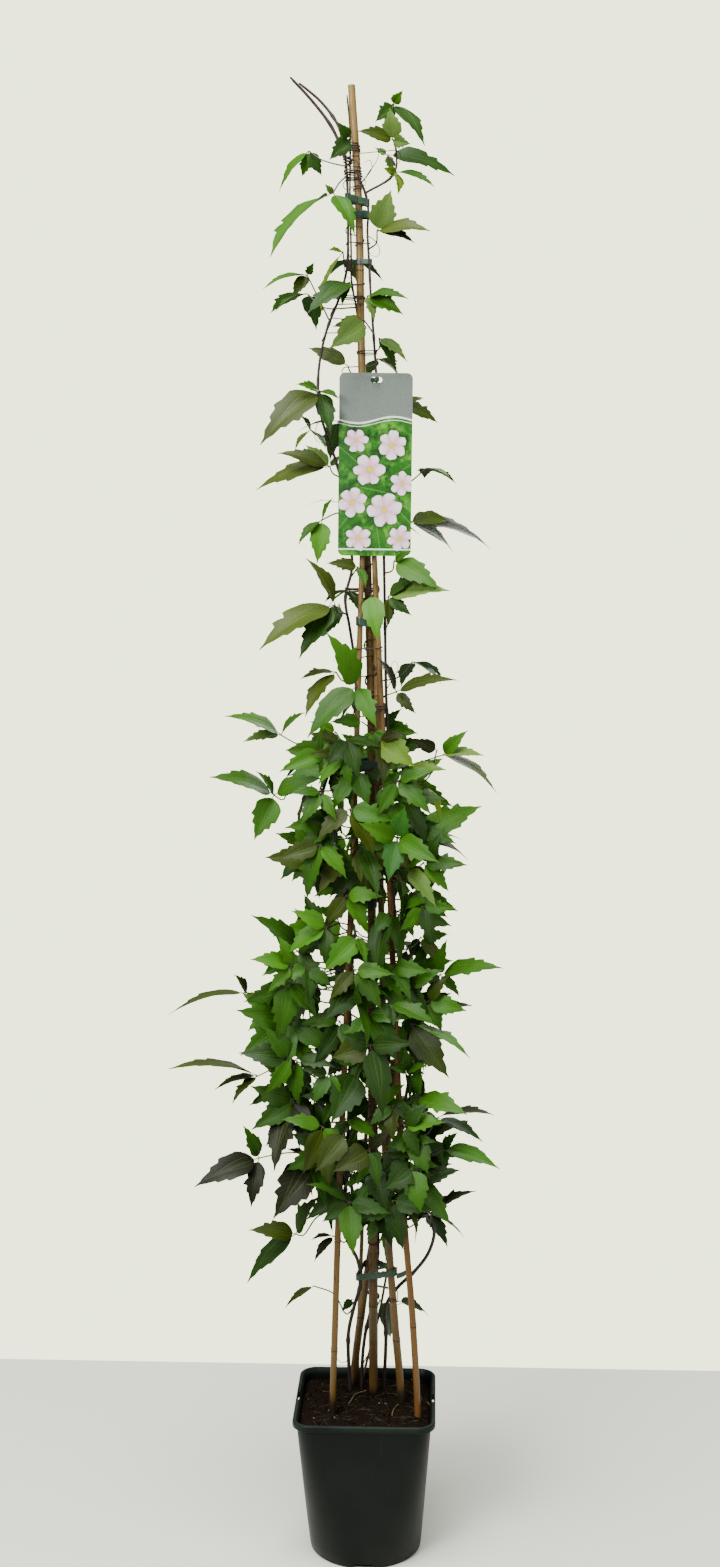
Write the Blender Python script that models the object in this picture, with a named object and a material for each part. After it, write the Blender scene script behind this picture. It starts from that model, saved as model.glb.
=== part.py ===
"""A clematis in its nursery pot, grown up a bundle of bamboo canes.

Units are metres, +Z is up and the pot's front faces -Y. The origin is the middle of the pot's base.
Leaves and stems are placed by where they are seen in a view of the plant, as VIEW describes it.
"""

import math
import random

import bmesh
import bpy
from mathutils import Matrix, Vector
from mathutils.bvhtree import BVHTree
from mathutils.geometry import convex_hull_2d, intersect_point_line

MM = 0.001

# The pot: a rounded square at the rim that turns round at the base.
POT_HEIGHT = 0.225
RIM_WIDTH = 0.206
BODY_WIDTH = 0.195
BASE_RADIUS = 0.082
WALL = 0.0018
LIP_HEIGHT = 0.009
RIM_CORNER = 0.021
CORNER_POINTS = 5
CORNER_DRAW = 1.05
CORNER_POWER = 0.8
BASE_EDGE = 0.0015
LIP_SHAPE = ((-0.0012, 0.0), (0.0, 0.0015), (0.0, 0.0065), (-0.0018, 0.009))
FLOOR_THICK = 0.0028
HANDLE_SLOT = (0.0028, 0.026)
HANDLE_AT = (0.0036, -0.002)
DRAIN_SLOT = (0.030, 0.007)
DRAIN_DEPTH = 0.022
DRAIN_REACH = 0.0765

# The soil, which lies a little below the rim.
SOIL_TOP = 0.212
SOIL_GAP = 0.0006
SOIL_BUMP = 0.003
SOIL_WAVES = (61, 53, 117, 80)
SOIL_MOUND = 0.0100
SOIL_FOOT = 0.0036
SOIL_LEVELS = (0.05, 0.11, 0.17, SOIL_TOP - 0.011)
SOIL_RINGS = (1.0, 0.8, 0.55, 0.3)
HOLE_GAP = 0.0003
HOLE_SHARE = 1.16
HOLE_RISE = 0.06

# The view of the plant: its middle pixel, lens in pixels, distance, height, shift and tilt.
VIEW = dict(centre=(360.0, 783.5), focal=1880.0, distance=2.66, height=1.44, shift=-0.0085)
VIEW_PITCH = math.radians(6.5)
VIEW_TURN = Matrix.Rotation(math.radians(2.3), 3, "Z")

# Stems and petioles.
STEM_STEP = 0.042
STEM_CLEAR = 0.0011
CANE_STEP = 0.16
FOOT_DRAW = 0.93
PETIOLE_HALF = 0.0009
HUB_RADIUS = 0.0026
HUB_SPREAD = math.radians(19)
HUB_APART = math.radians(44)
PETIOLE_SAG = 0.10
PETIOLE_BEND = (0.16, 0.012)

# Leaf blades.
BLADE = 0.0008
BLADE_CLEAR = 0.0008
BLADE_ARCH = 0.09
BLADE_FOLD = 0.22
BLADE_MIN = 0.045
BLADE_TURNED = (1.03, 1.26)
BLADE_STRETCH = 1.45
BLADE_SHARE = 0.38
SMALL_BLADE = 0.034
LARGE_BLADE = 0.057

# Leaflet outline: share of the length along it, and share of the width to one side.
LARGE_OUTLINE = ((0.29, 0.42), (0.53, 0.46), (0.60, 0.28))
MIDDLE_OUTLINE = ((0.31, 0.45), (0.60, 0.34))
SMALL_OUTLINE = ((0.45, 0.5),)
RIB_AT = 0.44

# Bamboo canes: x and y of points seen up the cane, how far behind the pot's axis in mm, and
# the thickness in mm at the foot and at the top.
CANES = {
    "cane_centre": (
        ((373.5, 1410, 38), (373, 1215, 32), (372, 1000, 26), (371, 700, 14), (367, 560, 8),
         (361, 330, 4), (360, 240, 2), (356, 150, 1), (351.5, 85, 0)), 14.5, 10.5),
    "cane_left": (((332.5, 1425, -37), (338.5, 1215, -29), (353, 850, -17), (362.5, 545, -7)), 10, 8),
    "cane_back": (((351, 1405, 64), (366, 1280, 63), (379, 1215, 62), (388, 1130, 60), (394, 1060, 58)),
                  12, 11),
    "cane_right": (((402.5, 1418, 4), (393, 1300, 4), (387, 1215, 4), (381, 900, 4), (375, 570, 3)), 12, 8.5),
    "cane_far_right": (((418, 1432, -42), (411, 1290, -36), (404, 1215, -32), (388, 850, -19),
                        (373, 530, -7)), 10, 8),
    "cane_thin": (((357, 1380, 74), (360, 1290, 76), (361.5, 1240, 77), (364, 1180, 78), (367, 1110, 78)),
                  6.5, 6),
    "dry_stake": (((361.5, 1384, 61), (372, 1345, 78), (380, 1310, 84), (386, 1280, 86), (392, 1240, 88)),
                  4.2, 3.6),
}
CANE_FOOT = {"cane_centre": 0.03, "cane_left": 0.05, "cane_back": 0.05, "cane_right": 0.05,
             "cane_far_right": 0.06, "cane_thin": 0.12, "dry_stake": 0.17}

# Leafy stems, seen in the same way: the main stem first, then the shoots that grow from it.
STEMS = {
    "left": (
        (((350, 1384, 46), (348, 1345, 42), (350, 1322, 38), (356, 1300, 32), (361, 1280, 24),
          (361, 1268, 18), (353, 1251, 10), (346, 1237, 6), (345, 1200, 2), (348, 1130, -2),
          (350, 1040, -3), (349, 960, -2), (353, 915, -1), (357, 850, 0), (355, 770, 1), (356, 690, 3),
          (352, 640, 4), (345, 604, 0), (350, 580, 2), (352, 556, 4), (345, 500, 6), (336, 460, 2),
          (329, 442, -4), (322, 420, -8), (317.5, 400, -8), (319, 380, -6), (321, 350, -4),
          (326, 332, -4), (337, 304, -4), (344, 282, -6), (347.5, 262, -8), (348, 215, -8),
          (347, 180, -6), (346, 160, -5), (344, 142, -5)), 5.6, 3.4),
        (((345, 160, -5), (335, 133, -8), (318, 108, -14), (300, 88, -20), (290, 77, -24)), 4.8, 3.8),
        (((346, 154, -5), (338, 125, 2), (330, 112, 4), (316, 97, 2), (299, 83, -2)), 4.6, 3.6),
        (((350, 1060, -3), (336, 1030, -8), (322, 1012, -12), (310, 1016, -14), (302, 1033, -14),
          (302, 1066, -14), (303, 1100, -12)), 3.4, 2.6),
        (((336, 1030, -8), (324, 1050, 2), (323, 1080, 8), (328, 1106, 12)), 3.2, 2.6),
    ),
    "right": (
        (((384, 1386, 54), (386, 1340, 50), (386, 1303, 44), (398, 1287, 32), (413, 1273, 22),
          (425, 1258, 14), (433, 1243, 8), (434.5, 1230, 4), (430.5, 1217, 0), (421, 1206, -4),
          (410, 1190, -4), (403, 1150, -2), (402, 1120, -2), (407, 1090, -4), (411, 1060, -6),
          (407, 1020, -4), (401, 975, 0), (396, 930, 4), (392, 870, 8), (390, 800, 10), (388, 740, 10),
          (386, 690, 10), (385, 620, 10), (384, 560, 8), (383, 500, 6), (380, 430, 6), (376, 372, 6),
          (374, 340, 4), (371, 300, 0), (369, 260, -2), (367.5, 235, -3), (368, 215, -3),
          (367, 197, -5), (363, 182, -9), (357, 172, -11)), 5.6, 3.2),
        (((366, 193, -6), (376, 187, -5), (386, 180, -6), (394, 174, -6), (398, 160, -6),
          (395, 140, -6), (392, 104, -5)), 3.4, 2.2),
    ),
    "back": (
        (((362, 1384, 52), (363, 1345, 52), (366, 1330, 52), (373, 1300, 50), (377, 1270, 46),
          (378, 1215, 40), (376, 1120, 40), (374, 1000, 38), (373, 860, 34), (371, 700, 28),
          (366, 560, 24), (362, 420, 18), (357.5, 320, 12), (354, 300, 10), (351.5, 280, 10),
          (351, 240, 10), (350, 200, 9), (350, 175, 8), (350, 130, 6), (347, 95, 4)), 5.4, 2.6),
    ),
}
STEM_FOOT = {"left": 0.15, "right": 0.15, "back": 0.15}

# Ties of soft tape: the height on the view, the tape's width, its slant, and what it goes round.
TIES = {
    "tie_top": (200.5, 0.0100, -0.25, ("cane_centre", "left", "right", "back")),
    "tie_second": (215, 0.0105, 0.0, ("cane_centre", "left", "right", "back")),
    "tie_small": (262, 0.007, 0.0, ("cane_centre", "right")),
    "tie_upper": (622, 0.013, -0.1, ("cane_centre", "cane_left", "cane_right", "cane_far_right")),
    "tie_middle": (764, 0.016, 0.12, ("cane_centre", "cane_left", "cane_right", "cane_far_right")),
    "tie_waist": (906, 0.012, 0.0, ("cane_centre", "left", "back")),
    "tie_low": (1213, 0.012, 0.0, ("cane_centre", "cane_right", "back", "cane_back")),
    "tie_wide": (1277, 0.010, 0.25, ("cane_centre", "cane_right", "cane_back", "left")),
}
TAPE = 0.0009
TAPE_GAP = 0.0005
TAPE_ROOM = 0.004
TAPE_LEAST = 0.0010

# The hanging label: its corners on the view, its depth behind the axis in mm, and its card.
LABEL_TOP_LEFT = (339.5, 372.4)
LABEL_TOP_RIGHT = (413, 373.2)
LABEL_HEIGHT = 0.250
LABEL_DEPTH = -26
LABEL_CARD = 0.0008
LABEL_CORNER = 0.008
LABEL_SLOT = (0.016, 0.008)
LABEL_SLOT_AT = (0.051, 0.0095)
LOOP_TAPE = (0.004, 0.0009)
LOOP_FRONT = (0.004, 0.0018)

# Leaves as seen: the stem, the hub, its depth in mm, and for each leaflet the tip's place and
# the width that it shows. A petiole that is seen adds the places that it passes.
LEAVES = (
    ("right", (393, 104), -5, ((403, 90, 10), (375, 122, 14), (425, 146, 12))),
    ("right", (393, 140), -18, ((390, 108, 18), (357, 131, 12), (411, 144, 12))),
    ("right", (387, 155), 12, ((455, 176, 13), (393, 170, 8), (376, 148, 6))),
    ("right", (396, 172), -8, ((435, 187, 6), (383, 168, 8), (398, 195, 8))),
    ("left", (350, 138), -18, ((329, 160, 16), (337, 121, 10))),
    ("left", (309, 151), -12, ((279, 192, 6), (302, 177, 11), (322, 176, 12)), ((345, 166), (322, 160))),
    ("left", (333, 193), -22, ((270, 257, 9), (355, 235, 16), (325, 184, 6)), ((348, 176), (340, 182))),
    ("right", (377, 231), -32, ((391, 190, 25), (431, 231, 12), (415, 243, 8))),
    ("left", (343, 252), -14, ((328, 250, 4), (321, 315, 5))),
    ("left", (307, 275), 4, ((263, 289, 4), (292, 300, 12), (314, 262, 8)), ((330, 322), (317, 295))),
    ("left", (350, 282), -26, ((307, 314, 18), (342, 306, 9))),
    ("right", (367, 296), -28, ((409, 299, 8), (404, 315, 14), (374, 322, 10))),
    ("right", (364, 320), -30, ((329, 349, 25), (332, 327, 12))),
    ("right", (379, 338), -16, ((407, 362, 10), (396, 372, 10))),
    ("back", (348, 366), 8, ((308, 348, 14),)),
    ("left", (320, 391), -24, ((260, 445, 26), (331, 436, 18), (296, 384, 8), (339, 399, 6))),
    ("left", (311, 430), -14, ((300, 415, 5), (295, 450, 4), (326, 449, 4))),
    ("left", (330, 467), -16, ((256, 490, 14), (277, 453, 14), (306, 445, 14), (341, 455, 6))),
    ("left", (322, 520), -12, ((317, 564, 20), (298, 545, 7), (333, 498, 4)), ((345, 512), (334, 514))),
    ("right", (405, 404), 8, ((438, 423, 12), (425, 398, 6))),
    ("right", (409, 522), 4, ((450, 521, 14), (491, 549, 12), (453, 552, 9))),
    ("right", (394, 561), -16, ((441, 590, 22), (412, 551, 8))),
    ("left", (358, 567), -18, ((326, 563, 12), (366, 588, 9))),
    ("left", (335, 605), -26, ((259, 650, 22), (299, 659, 22), (306, 558, 12))),
    ("left", (339, 604), -16, ((325, 636, 16),)),
    ("right", (371, 594), -36, ((378, 642, 22),)),
    ("right", (388, 597), -20, ((412, 616, 12), (450, 591, 16), (420, 575, 10), (387, 628, 10))),
    ("left", (357, 686), -50, ((326, 632, 25), (307, 738, 24), (377, 728, 20))),
    ("left", (336, 672), -20, ((305, 717, 14), (300, 679, 6))),
    ("back", (362, 722), -36, ((330, 722, 14),)),
    ("right", (396, 692), -22, ((376, 656, 8), (458, 680, 12), (416, 714, 12)), ((379, 698),)),
    ("left", (281, 735), 0, ((224, 716, 12), (243, 742, 10), (305, 712, 6)), ((316, 751), (295, 743))),
    ("left", (274, 795), -12, ((209, 777, 16), (254, 840, 26), (323, 778, 16), (256, 771, 8)),
     ((293, 793), (283, 800))),
    ("left", (322, 752), -38, ((285, 750, 22), (279, 772, 18), (345, 766, 16), (322, 724, 6))),
    ("left", (336, 818), -18, ((284, 828, 24), (308, 789, 14))),
    ("left", (342, 849), -34, ((298, 877, 26), (318, 895, 22), (306, 846, 8))),
    ("back", (359, 846), -30, ((361, 884, 16), (378, 898, 20))),
    ("right", (397, 838), -52, ((358, 823, 20), (388, 882, 22), (440, 863, 22), (405, 806, 20))),
    ("right", (380, 738), -40, ((415, 767, 28), (405, 736, 10), (383, 784, 16))),
    ("right", (404, 772), -24, ((421, 807, 12), (447, 770, 12))),
    ("right", (426, 786), -12, ((440, 822, 7),)),
    ("right", (443, 755), -8, ((468, 730, 14), (484, 756, 9), (497, 793, 9)), ((404, 768), (424, 761))),
    ("right", (437, 750), -24, ((410, 738, 13),), ((402, 790), (428, 778))),
    ("right", (418, 838), -16, ((482, 806, 26), (463, 840, 6), (468, 860, 8))),
    ("right", (407, 870), -36, ((432, 889, 16), (436, 907, 16), (424, 860, 6))),
    ("right", (402, 908), -30, ((452, 926, 22), (414, 938, 14), (430, 902, 8))),
    ("right", (388, 912), -46, ((377, 985, 22), (399, 968, 14), (374, 935, 16))),
    ("right", (440, 975), -5, ((447, 939, 12), (503, 968, 16), (460, 997, 10)), ((405, 975), (428, 979))),
    ("right", (414, 1004), -8, ((452, 993, 18), (424, 986, 8))),
    ("right", (424, 1015), 4, ((473, 1006, 7),)),
    ("right", (392, 966), -34, ((430, 972, 18), (411, 1002, 14))),
    ("right", (390, 1003), -44, ((436, 1026, 16), (394, 1028, 10))),
    ("left", (297, 951), -22, ((251, 915, 20), (262, 976, 22), (325, 987, 18), (326, 941, 12))),
    ("left", (328, 928), -26, ((295, 935, 10), (343, 898, 6)), ((352, 926), (340, 923))),
    ("left", (357, 936), -40, ((323, 972, 24), (366, 965, 10))),
    ("left", (247, 993), 6, ((168, 1015, 7), (234, 974, 8), (262, 1008, 10)), ((305, 1004), (272, 994))),
    ("left", (289, 1020), -28, ((236, 1010, 26), (240, 1056, 24), (280, 1085, 24), (336, 1052, 22))),
    ("left", (356, 985), -44, ((325, 1020, 26), (368, 1017, 16), (388, 996, 10), (322, 978, 8))),
    ("left", (258, 1076), 4, ((168, 1069, 6), (232, 1104, 8), (214, 1090, 6)), ((300, 1076), (276, 1069))),
    ("left", (293, 1101), -28, ((250, 1086, 22), (251, 1130, 22), (274, 1172, 24), (311, 1143, 22))),
    ("left", (259, 1158), -4, ((243, 1125, 14), (194, 1187, 24), (251, 1208, 18)),
     ((312, 1153), (285, 1153))),
    ("left", (311, 1160), -30, ((273, 1219, 34), (287, 1149, 6), (325, 1205, 14))),
    ("left", (296, 1234), -16, ((248, 1230, 18), (247, 1283, 16), (319, 1196, 14)),
     ((331, 1210), (316, 1218), (304, 1235))),
    ("left", (349, 1202), -52, ((353, 1256, 22), (391, 1214, 16), (322, 1222, 16), (306, 1184, 8))),
    ("left", (334, 1236), -6, ((311, 1240, 4), (314, 1262, 8)), ((345, 1243),)),
    ("left", (314, 1286), 6, ((285, 1308, 6),), ((346, 1314), (334, 1294))),
    ("left", (352, 1299), 16, ((341, 1312, 8),)),
    ("back", (380, 1300), 28, ((390, 1338, 16), (364, 1290, 6))),
    ("right", (398, 1301), 10, ((429, 1316, 7),)),
    ("left", (370, 1045), -58, ((331, 1058, 26), (383, 1118, 26), (342, 1034, 20), (415, 1043, 20))),
    ("right", (411, 1024), -26, ((449, 1078, 28), (470, 1058, 8))),
    ("right", (407, 1072), -40, ((404, 1046, 12), (388, 1067, 8), (428, 1066, 8))),
    ("right", (417, 1097), -20, ((422, 1062, 12), (468, 1115, 20), (422, 1124, 12)), ((402, 1103),)),
    ("right", (437, 1118), 2, ((494, 1115, 7), (483, 1142, 10), (412, 1116, 8)), ((415, 1140), (427, 1134))),
    ("right", (443, 1149), -5, ((458, 1132, 10), (500, 1169, 16), (446, 1172, 10)), ((428, 1156),)),
    ("left", (369, 1150), -62, ((391, 1130, 12), (333, 1172, 26), (379, 1190, 14))),
    ("right", (414, 1138), -42, ((386, 1147, 20), (428, 1174, 22), (437, 1142, 10))),
    ("right", (412, 1168), -58, ((421, 1213, 24), (384, 1190, 26))),
    ("right", (406, 1182), -36, ((402, 1226, 14),)),
    ("right", (371, 1166), -36, ((388, 1212, 22),)),
    ("left", (345, 1133), -34, ((315, 1172, 24), (333, 1121, 8))),
    ("left", (357, 1072), -30, ((331, 1123, 34),)),
    ("right", (431, 1214), -6, ((477, 1191, 10), (403, 1222, 8)), ((430, 1228),)),
)
# What a leaf tries until it hangs clear: how far above its hub the petiole starts, a shift of
# the whole leaf in depth, in mm, and how much of their swing in depth its leaflets take.
ROOT_RISES = (-0.018, 0.030)
DEPTH_SHARE = 1.35
SHIFTS = (0, -7, 7, -14, 14, -22, 22, -32, 32, -44)
SWINGS = ((0.6, 1.0), (0.1, 1.0), (0.0, 0.7), (-0.5, 0.9), (-0.8, 0.2), (-0.9, 1.1), (-1.0, 1.0))

# Leaves on the far side, which the view does not show, placed by a rule.
BACK_LEAVES = 18
BACK_LOW, BACK_HIGH = 0.42, 1.92
BACK_REACH = (0.030, 0.110)
BACK_LENGTH = (0.050, 0.078)
BACK_DROP = (0.2, 1.2)
BACK_LEAFLETS = ((0, 1.0), (1.15, 0.82), (-1.15, 0.82))
BACK_WIDTH = 0.45
BACK_SEED = 11
BACK_TURNS = (0, 0.35, -0.35, 0.7, -0.7, 1.05, -1.05)
BACK_GOLDEN = 1.51
BACK_UNEVEN = 0.022

COLOURS = {
    "pot": (0.018, 0.024, 0.022),
    "soil": (0.030, 0.020, 0.013),
    "cane": (0.42, 0.24, 0.09),
    "dry": (0.32, 0.22, 0.12),
    "tape": (0.030, 0.085, 0.042),
    "card": (0.55, 0.58, 0.56),
    "leaf": (0.055, 0.16, 0.028),
}


def seen(x, y, depth):
    """The point at this pixel of the view, this far behind the plane through the pot's axis."""
    across = (x - VIEW["centre"][0]) / VIEW["focal"]
    up = (VIEW["centre"][1] - y) / VIEW["focal"]
    cosine, sine = math.cos(VIEW_PITCH), math.sin(VIEW_PITCH)
    reach = (VIEW["distance"] + depth) / (cosine + up * sine)
    height = VIEW["height"] + reach * (up * cosine - sine)
    return VIEW_TURN @ Vector((VIEW["shift"] + across * reach, depth, height))


def eye():
    return VIEW_TURN @ Vector((VIEW["shift"], -VIEW["distance"], VIEW["height"]))


def material(name, roughness=0.6):
    made = bpy.data.materials.get(name) or bpy.data.materials.new(name)
    made.use_nodes = True
    shader = made.node_tree.nodes["Principled BSDF"]
    shader.inputs["Base Color"].default_value = (*COLOURS[name], 1)
    shader.inputs["Roughness"].default_value = roughness
    shader.inputs["Metallic"].default_value = 0.0
    return made


def new_object(name, mesh, collection, surface=None):
    made = bpy.data.objects.new(name, mesh)
    collection.objects.link(made)
    if surface:
        mesh.materials.append(surface)
    return made


def mesh_from(points, faces):
    mesh = bpy.data.meshes.new("shape")
    mesh.from_pydata(points, [], faces)
    return mesh


def boolean(target, operation, other, solver="EXACT"):
    """Joins or cuts with an object or a collection, and applies it."""
    step = target.modifiers.new("joined", "BOOLEAN")
    step.operation = operation
    step.solver = solver
    if isinstance(other, bpy.types.Collection):
        step.operand_type = "COLLECTION"
        step.collection = other
    else:
        step.object = other
    applied = bpy.data.meshes.new_from_object(target.evaluated_get(bpy.context.evaluated_depsgraph_get()))
    target.modifiers.clear()
    target.data = applied


def smooth_line(points, step):
    """Evenly spaced points on a curve that runs smoothly through these."""
    padded = [2 * points[0] - points[1], *points, 2 * points[-1] - points[-2]]
    fine = []
    for before, start, end, after in zip(padded, padded[1:], padded[2:], padded[3:]):
        for i in range(12):
            t = i / 12
            fine.append(0.5 * (2 * start + (end - before) * t
                               + (2 * before - 5 * start + 4 * end - after) * t ** 2
                               + (3 * start - before - 3 * end + after) * t ** 3))
    fine.append(points[-1])
    length = sum((b - a).length for a, b in zip(fine, fine[1:]))
    count = max(2, round(length / step))
    return [point_along(fine, length * i / count) for i in range(count + 1)]


def point_along(line, distance):
    for a, b in zip(line, line[1:]):
        piece = (b - a).length
        if distance <= piece:
            return a.lerp(b, distance / piece) if piece else a.copy()
        distance -= piece
    return line[-1].copy()


def nearest_on(line, point):
    """The nearest point of a line of points, and its share of the way along."""
    best = None
    for i, (a, b) in enumerate(zip(line, line[1:])):
        near, share = intersect_point_line(point, a, b)
        share = min(max(share, 0.0), 1.0)
        near = a.lerp(b, share)
        gap = (near - point).length
        if best is None or gap < best[0]:
            best = (gap, near, (i + share) / (len(line) - 1))
    return best[1], best[2]


class Tube:
    """A cane or stem: a line of points with a thickness that changes evenly along it."""

    def __init__(self, points, foot, top):
        self.points = points
        self.foot = foot * MM / 2
        self.top = top * MM / 2

    def radius(self, share):
        return self.foot + (self.top - self.foot) * share

    def radii(self):
        return [self.radius(i / (len(self.points) - 1)) for i in range(len(self.points))]

    def at_height(self, z):
        for i, (a, b) in enumerate(zip(self.points, self.points[1:])):
            if (a.z - z) * (b.z - z) <= 0 and a.z != b.z:
                share = (z - a.z) / (b.z - a.z)
                return a.lerp(b, share), self.radius((i + share) / (len(self.points) - 1))
        return None


def keep_clear(tube, others):
    """Moves the points of a stem sideways until it lies beside every other stem and cane."""
    count = len(tube.points) - 1
    for _ in range(4):
        for i, point in enumerate(tube.points):
            for other in others:
                near, share = nearest_on(other.points, point)
                apart = tube.radius(i / count) + other.radius(share) + STEM_CLEAR
                away = Vector((point.x - near.x, point.y - near.y, 0))
                rise = abs(point.z - near.z)
                if away.length < apart and rise < apart:
                    push = away.normalized() if away.length > 1e-6 else Vector((-1, 0, 0))
                    point += push * (apart - away.length)


def foot_added(points, foot):
    """The line with its foot carried down into the soil, a little towards the pot's axis."""
    first = points[0]
    return [Vector((first.x * FOOT_DRAW, first.y * FOOT_DRAW, foot)), *points]


def build_canes():
    canes = {}
    for name, (places, foot, top) in CANES.items():
        points = smooth_line([seen(x, y, depth * MM) for x, y, depth in places], CANE_STEP)
        canes[name] = Tube(foot_added(points, CANE_FOOT[name]), foot, top)
    return canes


def build_stems(canes):
    stems = {}
    others = list(canes.values())
    for name, lines in STEMS.items():
        stems[name] = []
        for order, (places, foot, top) in enumerate(lines):
            points = smooth_line([seen(x, y, depth * MM) for x, y, depth in places], STEM_STEP)
            if order == 0:
                first = points[0]
                points = [Vector((first.x, first.y, STEM_FOOT[name])), *points]
            tube = Tube(points, foot, top)
            keep_clear(tube, others)
            if order:
                starts = [nearest_on(grown.points, tube.points[0])[0] for grown in stems[name]]
                tube.points[0] = min(starts, key=lambda start: (start - tube.points[0]).length)
            stems[name].append(tube)
        others.extend(stems[name])
    return stems


def tube_mesh(points, radii, sides):
    """A closed tube from a curve with a round bevel, as a mesh."""
    curve = bpy.data.curves.new("line", "CURVE")
    curve.dimensions = "3D"
    curve.bevel_depth = 1.0
    curve.bevel_resolution = (sides - 4) // 2
    curve.use_fill_caps = True
    spline = curve.splines.new("POLY")
    spline.points.add(len(points) - 1)
    for place, point, radius in zip(spline.points, points, radii):
        place.co = (*point, 1)
        place.radius = radius
    holder = bpy.data.objects.new("line", curve)
    bpy.context.scene.collection.objects.link(holder)
    mesh = bpy.data.meshes.new_from_object(holder.evaluated_get(bpy.context.evaluated_depsgraph_get()))
    bpy.data.objects.remove(holder)
    shape = bmesh.new()
    shape.from_mesh(mesh)
    bmesh.ops.remove_doubles(shape, verts=shape.verts, dist=0.00001)
    bmesh.ops.recalc_face_normals(shape, faces=shape.faces)
    bmesh.ops.triangulate(shape, faces=shape.faces)
    shape.to_mesh(mesh)
    shape.free()
    return mesh


def rounded_square(half, corner, height):
    """Points round a square with round corners, which is a circle where the corner is the half."""
    points = []
    for quarter in range(4):
        turn = Matrix.Rotation(quarter * math.pi / 2, 3, "Z")
        for i in range(CORNER_POINTS):
            angle = (i + 0.5) / CORNER_POINTS * math.pi / 2
            local = Vector((half - corner + corner * math.cos(angle),
                            half - corner + corner * math.sin(angle), height))
            points.append(turn @ local)
    return points


def lofted(sections):
    """A closed solid through rings of equally many points, with flat ends."""
    shape = bmesh.new()
    rings = [[shape.verts.new(point) for point in section] for section in sections]
    shape.faces.new(list(reversed(rings[0])))
    shape.faces.new(rings[-1])
    for low, high in zip(rings, rings[1:]):
        for i in range(len(low)):
            j = (i + 1) % len(low)
            shape.faces.new((low[i], low[j], high[j], high[i]))
    bmesh.ops.triangulate(shape, faces=shape.faces)
    if shape.calc_volume(signed=True) < 0:
        bmesh.ops.reverse_faces(shape, faces=shape.faces)
    mesh = bpy.data.meshes.new("loft")
    shape.to_mesh(mesh)
    shape.free()
    return mesh


def wall_at(z, inset):
    """Half width and corner radius of the pot's wall at a height."""
    share = z / POT_HEIGHT
    half = BASE_RADIUS + (BODY_WIDTH / 2 - BASE_RADIUS) * share - inset
    draw = min(1.0, share * CORNER_DRAW) ** CORNER_POWER
    corner = BASE_RADIUS + (RIM_CORNER - BASE_RADIUS) * draw - inset
    return half, min(corner, half)


def box_cutter(size, place, cutters):
    bpy.ops.mesh.primitive_cube_add(size=1, location=place)
    cutter = bpy.context.object
    cutter.scale = size
    bpy.ops.object.transform_apply(location=True, rotation=True, scale=True)
    cutter.hide_render = True
    cutter.display_type = "WIRE"
    for holder in list(cutter.users_collection):
        holder.objects.unlink(cutter)
    cutters.objects.link(cutter)
    return cutter


def build_pot(plant, cutters):
    under_lip = POT_HEIGHT - LIP_HEIGHT
    sections = [rounded_square(*wall_at(0.0, BASE_EDGE), 0.0)]
    for z in (BASE_EDGE, *SOIL_LEVELS[:3], under_lip):
        sections.append(rounded_square(*wall_at(z, 0.0), z))
    for out, rise in LIP_SHAPE:
        sections.append(rounded_square(RIM_WIDTH / 2 + out, RIM_CORNER + 0.005, under_lip + rise))
    sections.append(rounded_square(BODY_WIDTH / 2 - 0.0005, RIM_CORNER, POT_HEIGHT))
    for z in (SOIL_TOP, *reversed(SOIL_LEVELS), FLOOR_THICK):
        sections.append(rounded_square(*wall_at(z, WALL), z))
    pot = new_object("pot", lofted(sections), plant, material("pot", 0.45))
    for side in (-1, 1):
        place = (side * (RIM_WIDTH / 2 - HANDLE_AT[0]), HANDLE_AT[1], POT_HEIGHT)
        box_cutter((HANDLE_SLOT[0], HANDLE_SLOT[1], 4 * LIP_HEIGHT), place, cutters)
    wide, tall = DRAIN_SLOT
    for quarter in range(4):
        angle = quarter * math.pi / 2
        across = abs(math.cos(angle)) > 0.5
        size = (DRAIN_DEPTH, wide, 2 * tall) if across else (wide, DRAIN_DEPTH, 2 * tall)
        box_cutter(size, (math.cos(angle) * DRAIN_REACH, math.sin(angle) * DRAIN_REACH, 0), cutters)
    for cutter in list(cutters.objects):
        boolean(pot, "DIFFERENCE", cutter)


def soil_height(x, y):
    """The soil's uneven top: low waves, and a slight mound at the middle."""
    first, second, third, fourth = SOIL_WAVES
    waves = math.sin(first * x + 1.3) * math.cos(second * y) + 0.6 * math.sin(third * y + fourth * x)
    return SOIL_TOP + SOIL_BUMP * (0.5 * waves + 0.9 - (x * x + y * y) / SOIL_MOUND)


def build_soil(plant, tubes):
    sections = []
    for z in (SOIL_FOOT, *SOIL_LEVELS):
        sections.append(rounded_square(*wall_at(z, WALL + SOIL_GAP), z))
    half, corner = wall_at(SOIL_TOP, WALL + SOIL_GAP)
    for share in SOIL_RINGS:
        ring = rounded_square(half * share, corner * share, 0)
        sections.append([Vector((p.x, p.y, soil_height(p.x, p.y))) for p in ring])
    soil = new_object("potting_soil", lofted(sections), plant, material("soil", 0.95))
    for tube in tubes:
        below = [point for point in tube.points if point.z < SOIL_TOP + HOLE_RISE]
        last = tube.points[len(below)]
        line = [tube.points[0] - Vector((0, 0, HOLE_GAP)), *below[1:], last]
        widths = [radius * HOLE_SHARE + HOLE_GAP for radius in tube.radii()[:len(line)]]
        cutter = new_object("hole", tube_mesh(line, widths, 6), plant)
        boolean(soil, "DIFFERENCE", cutter)
        bpy.data.objects.remove(cutter)


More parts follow.
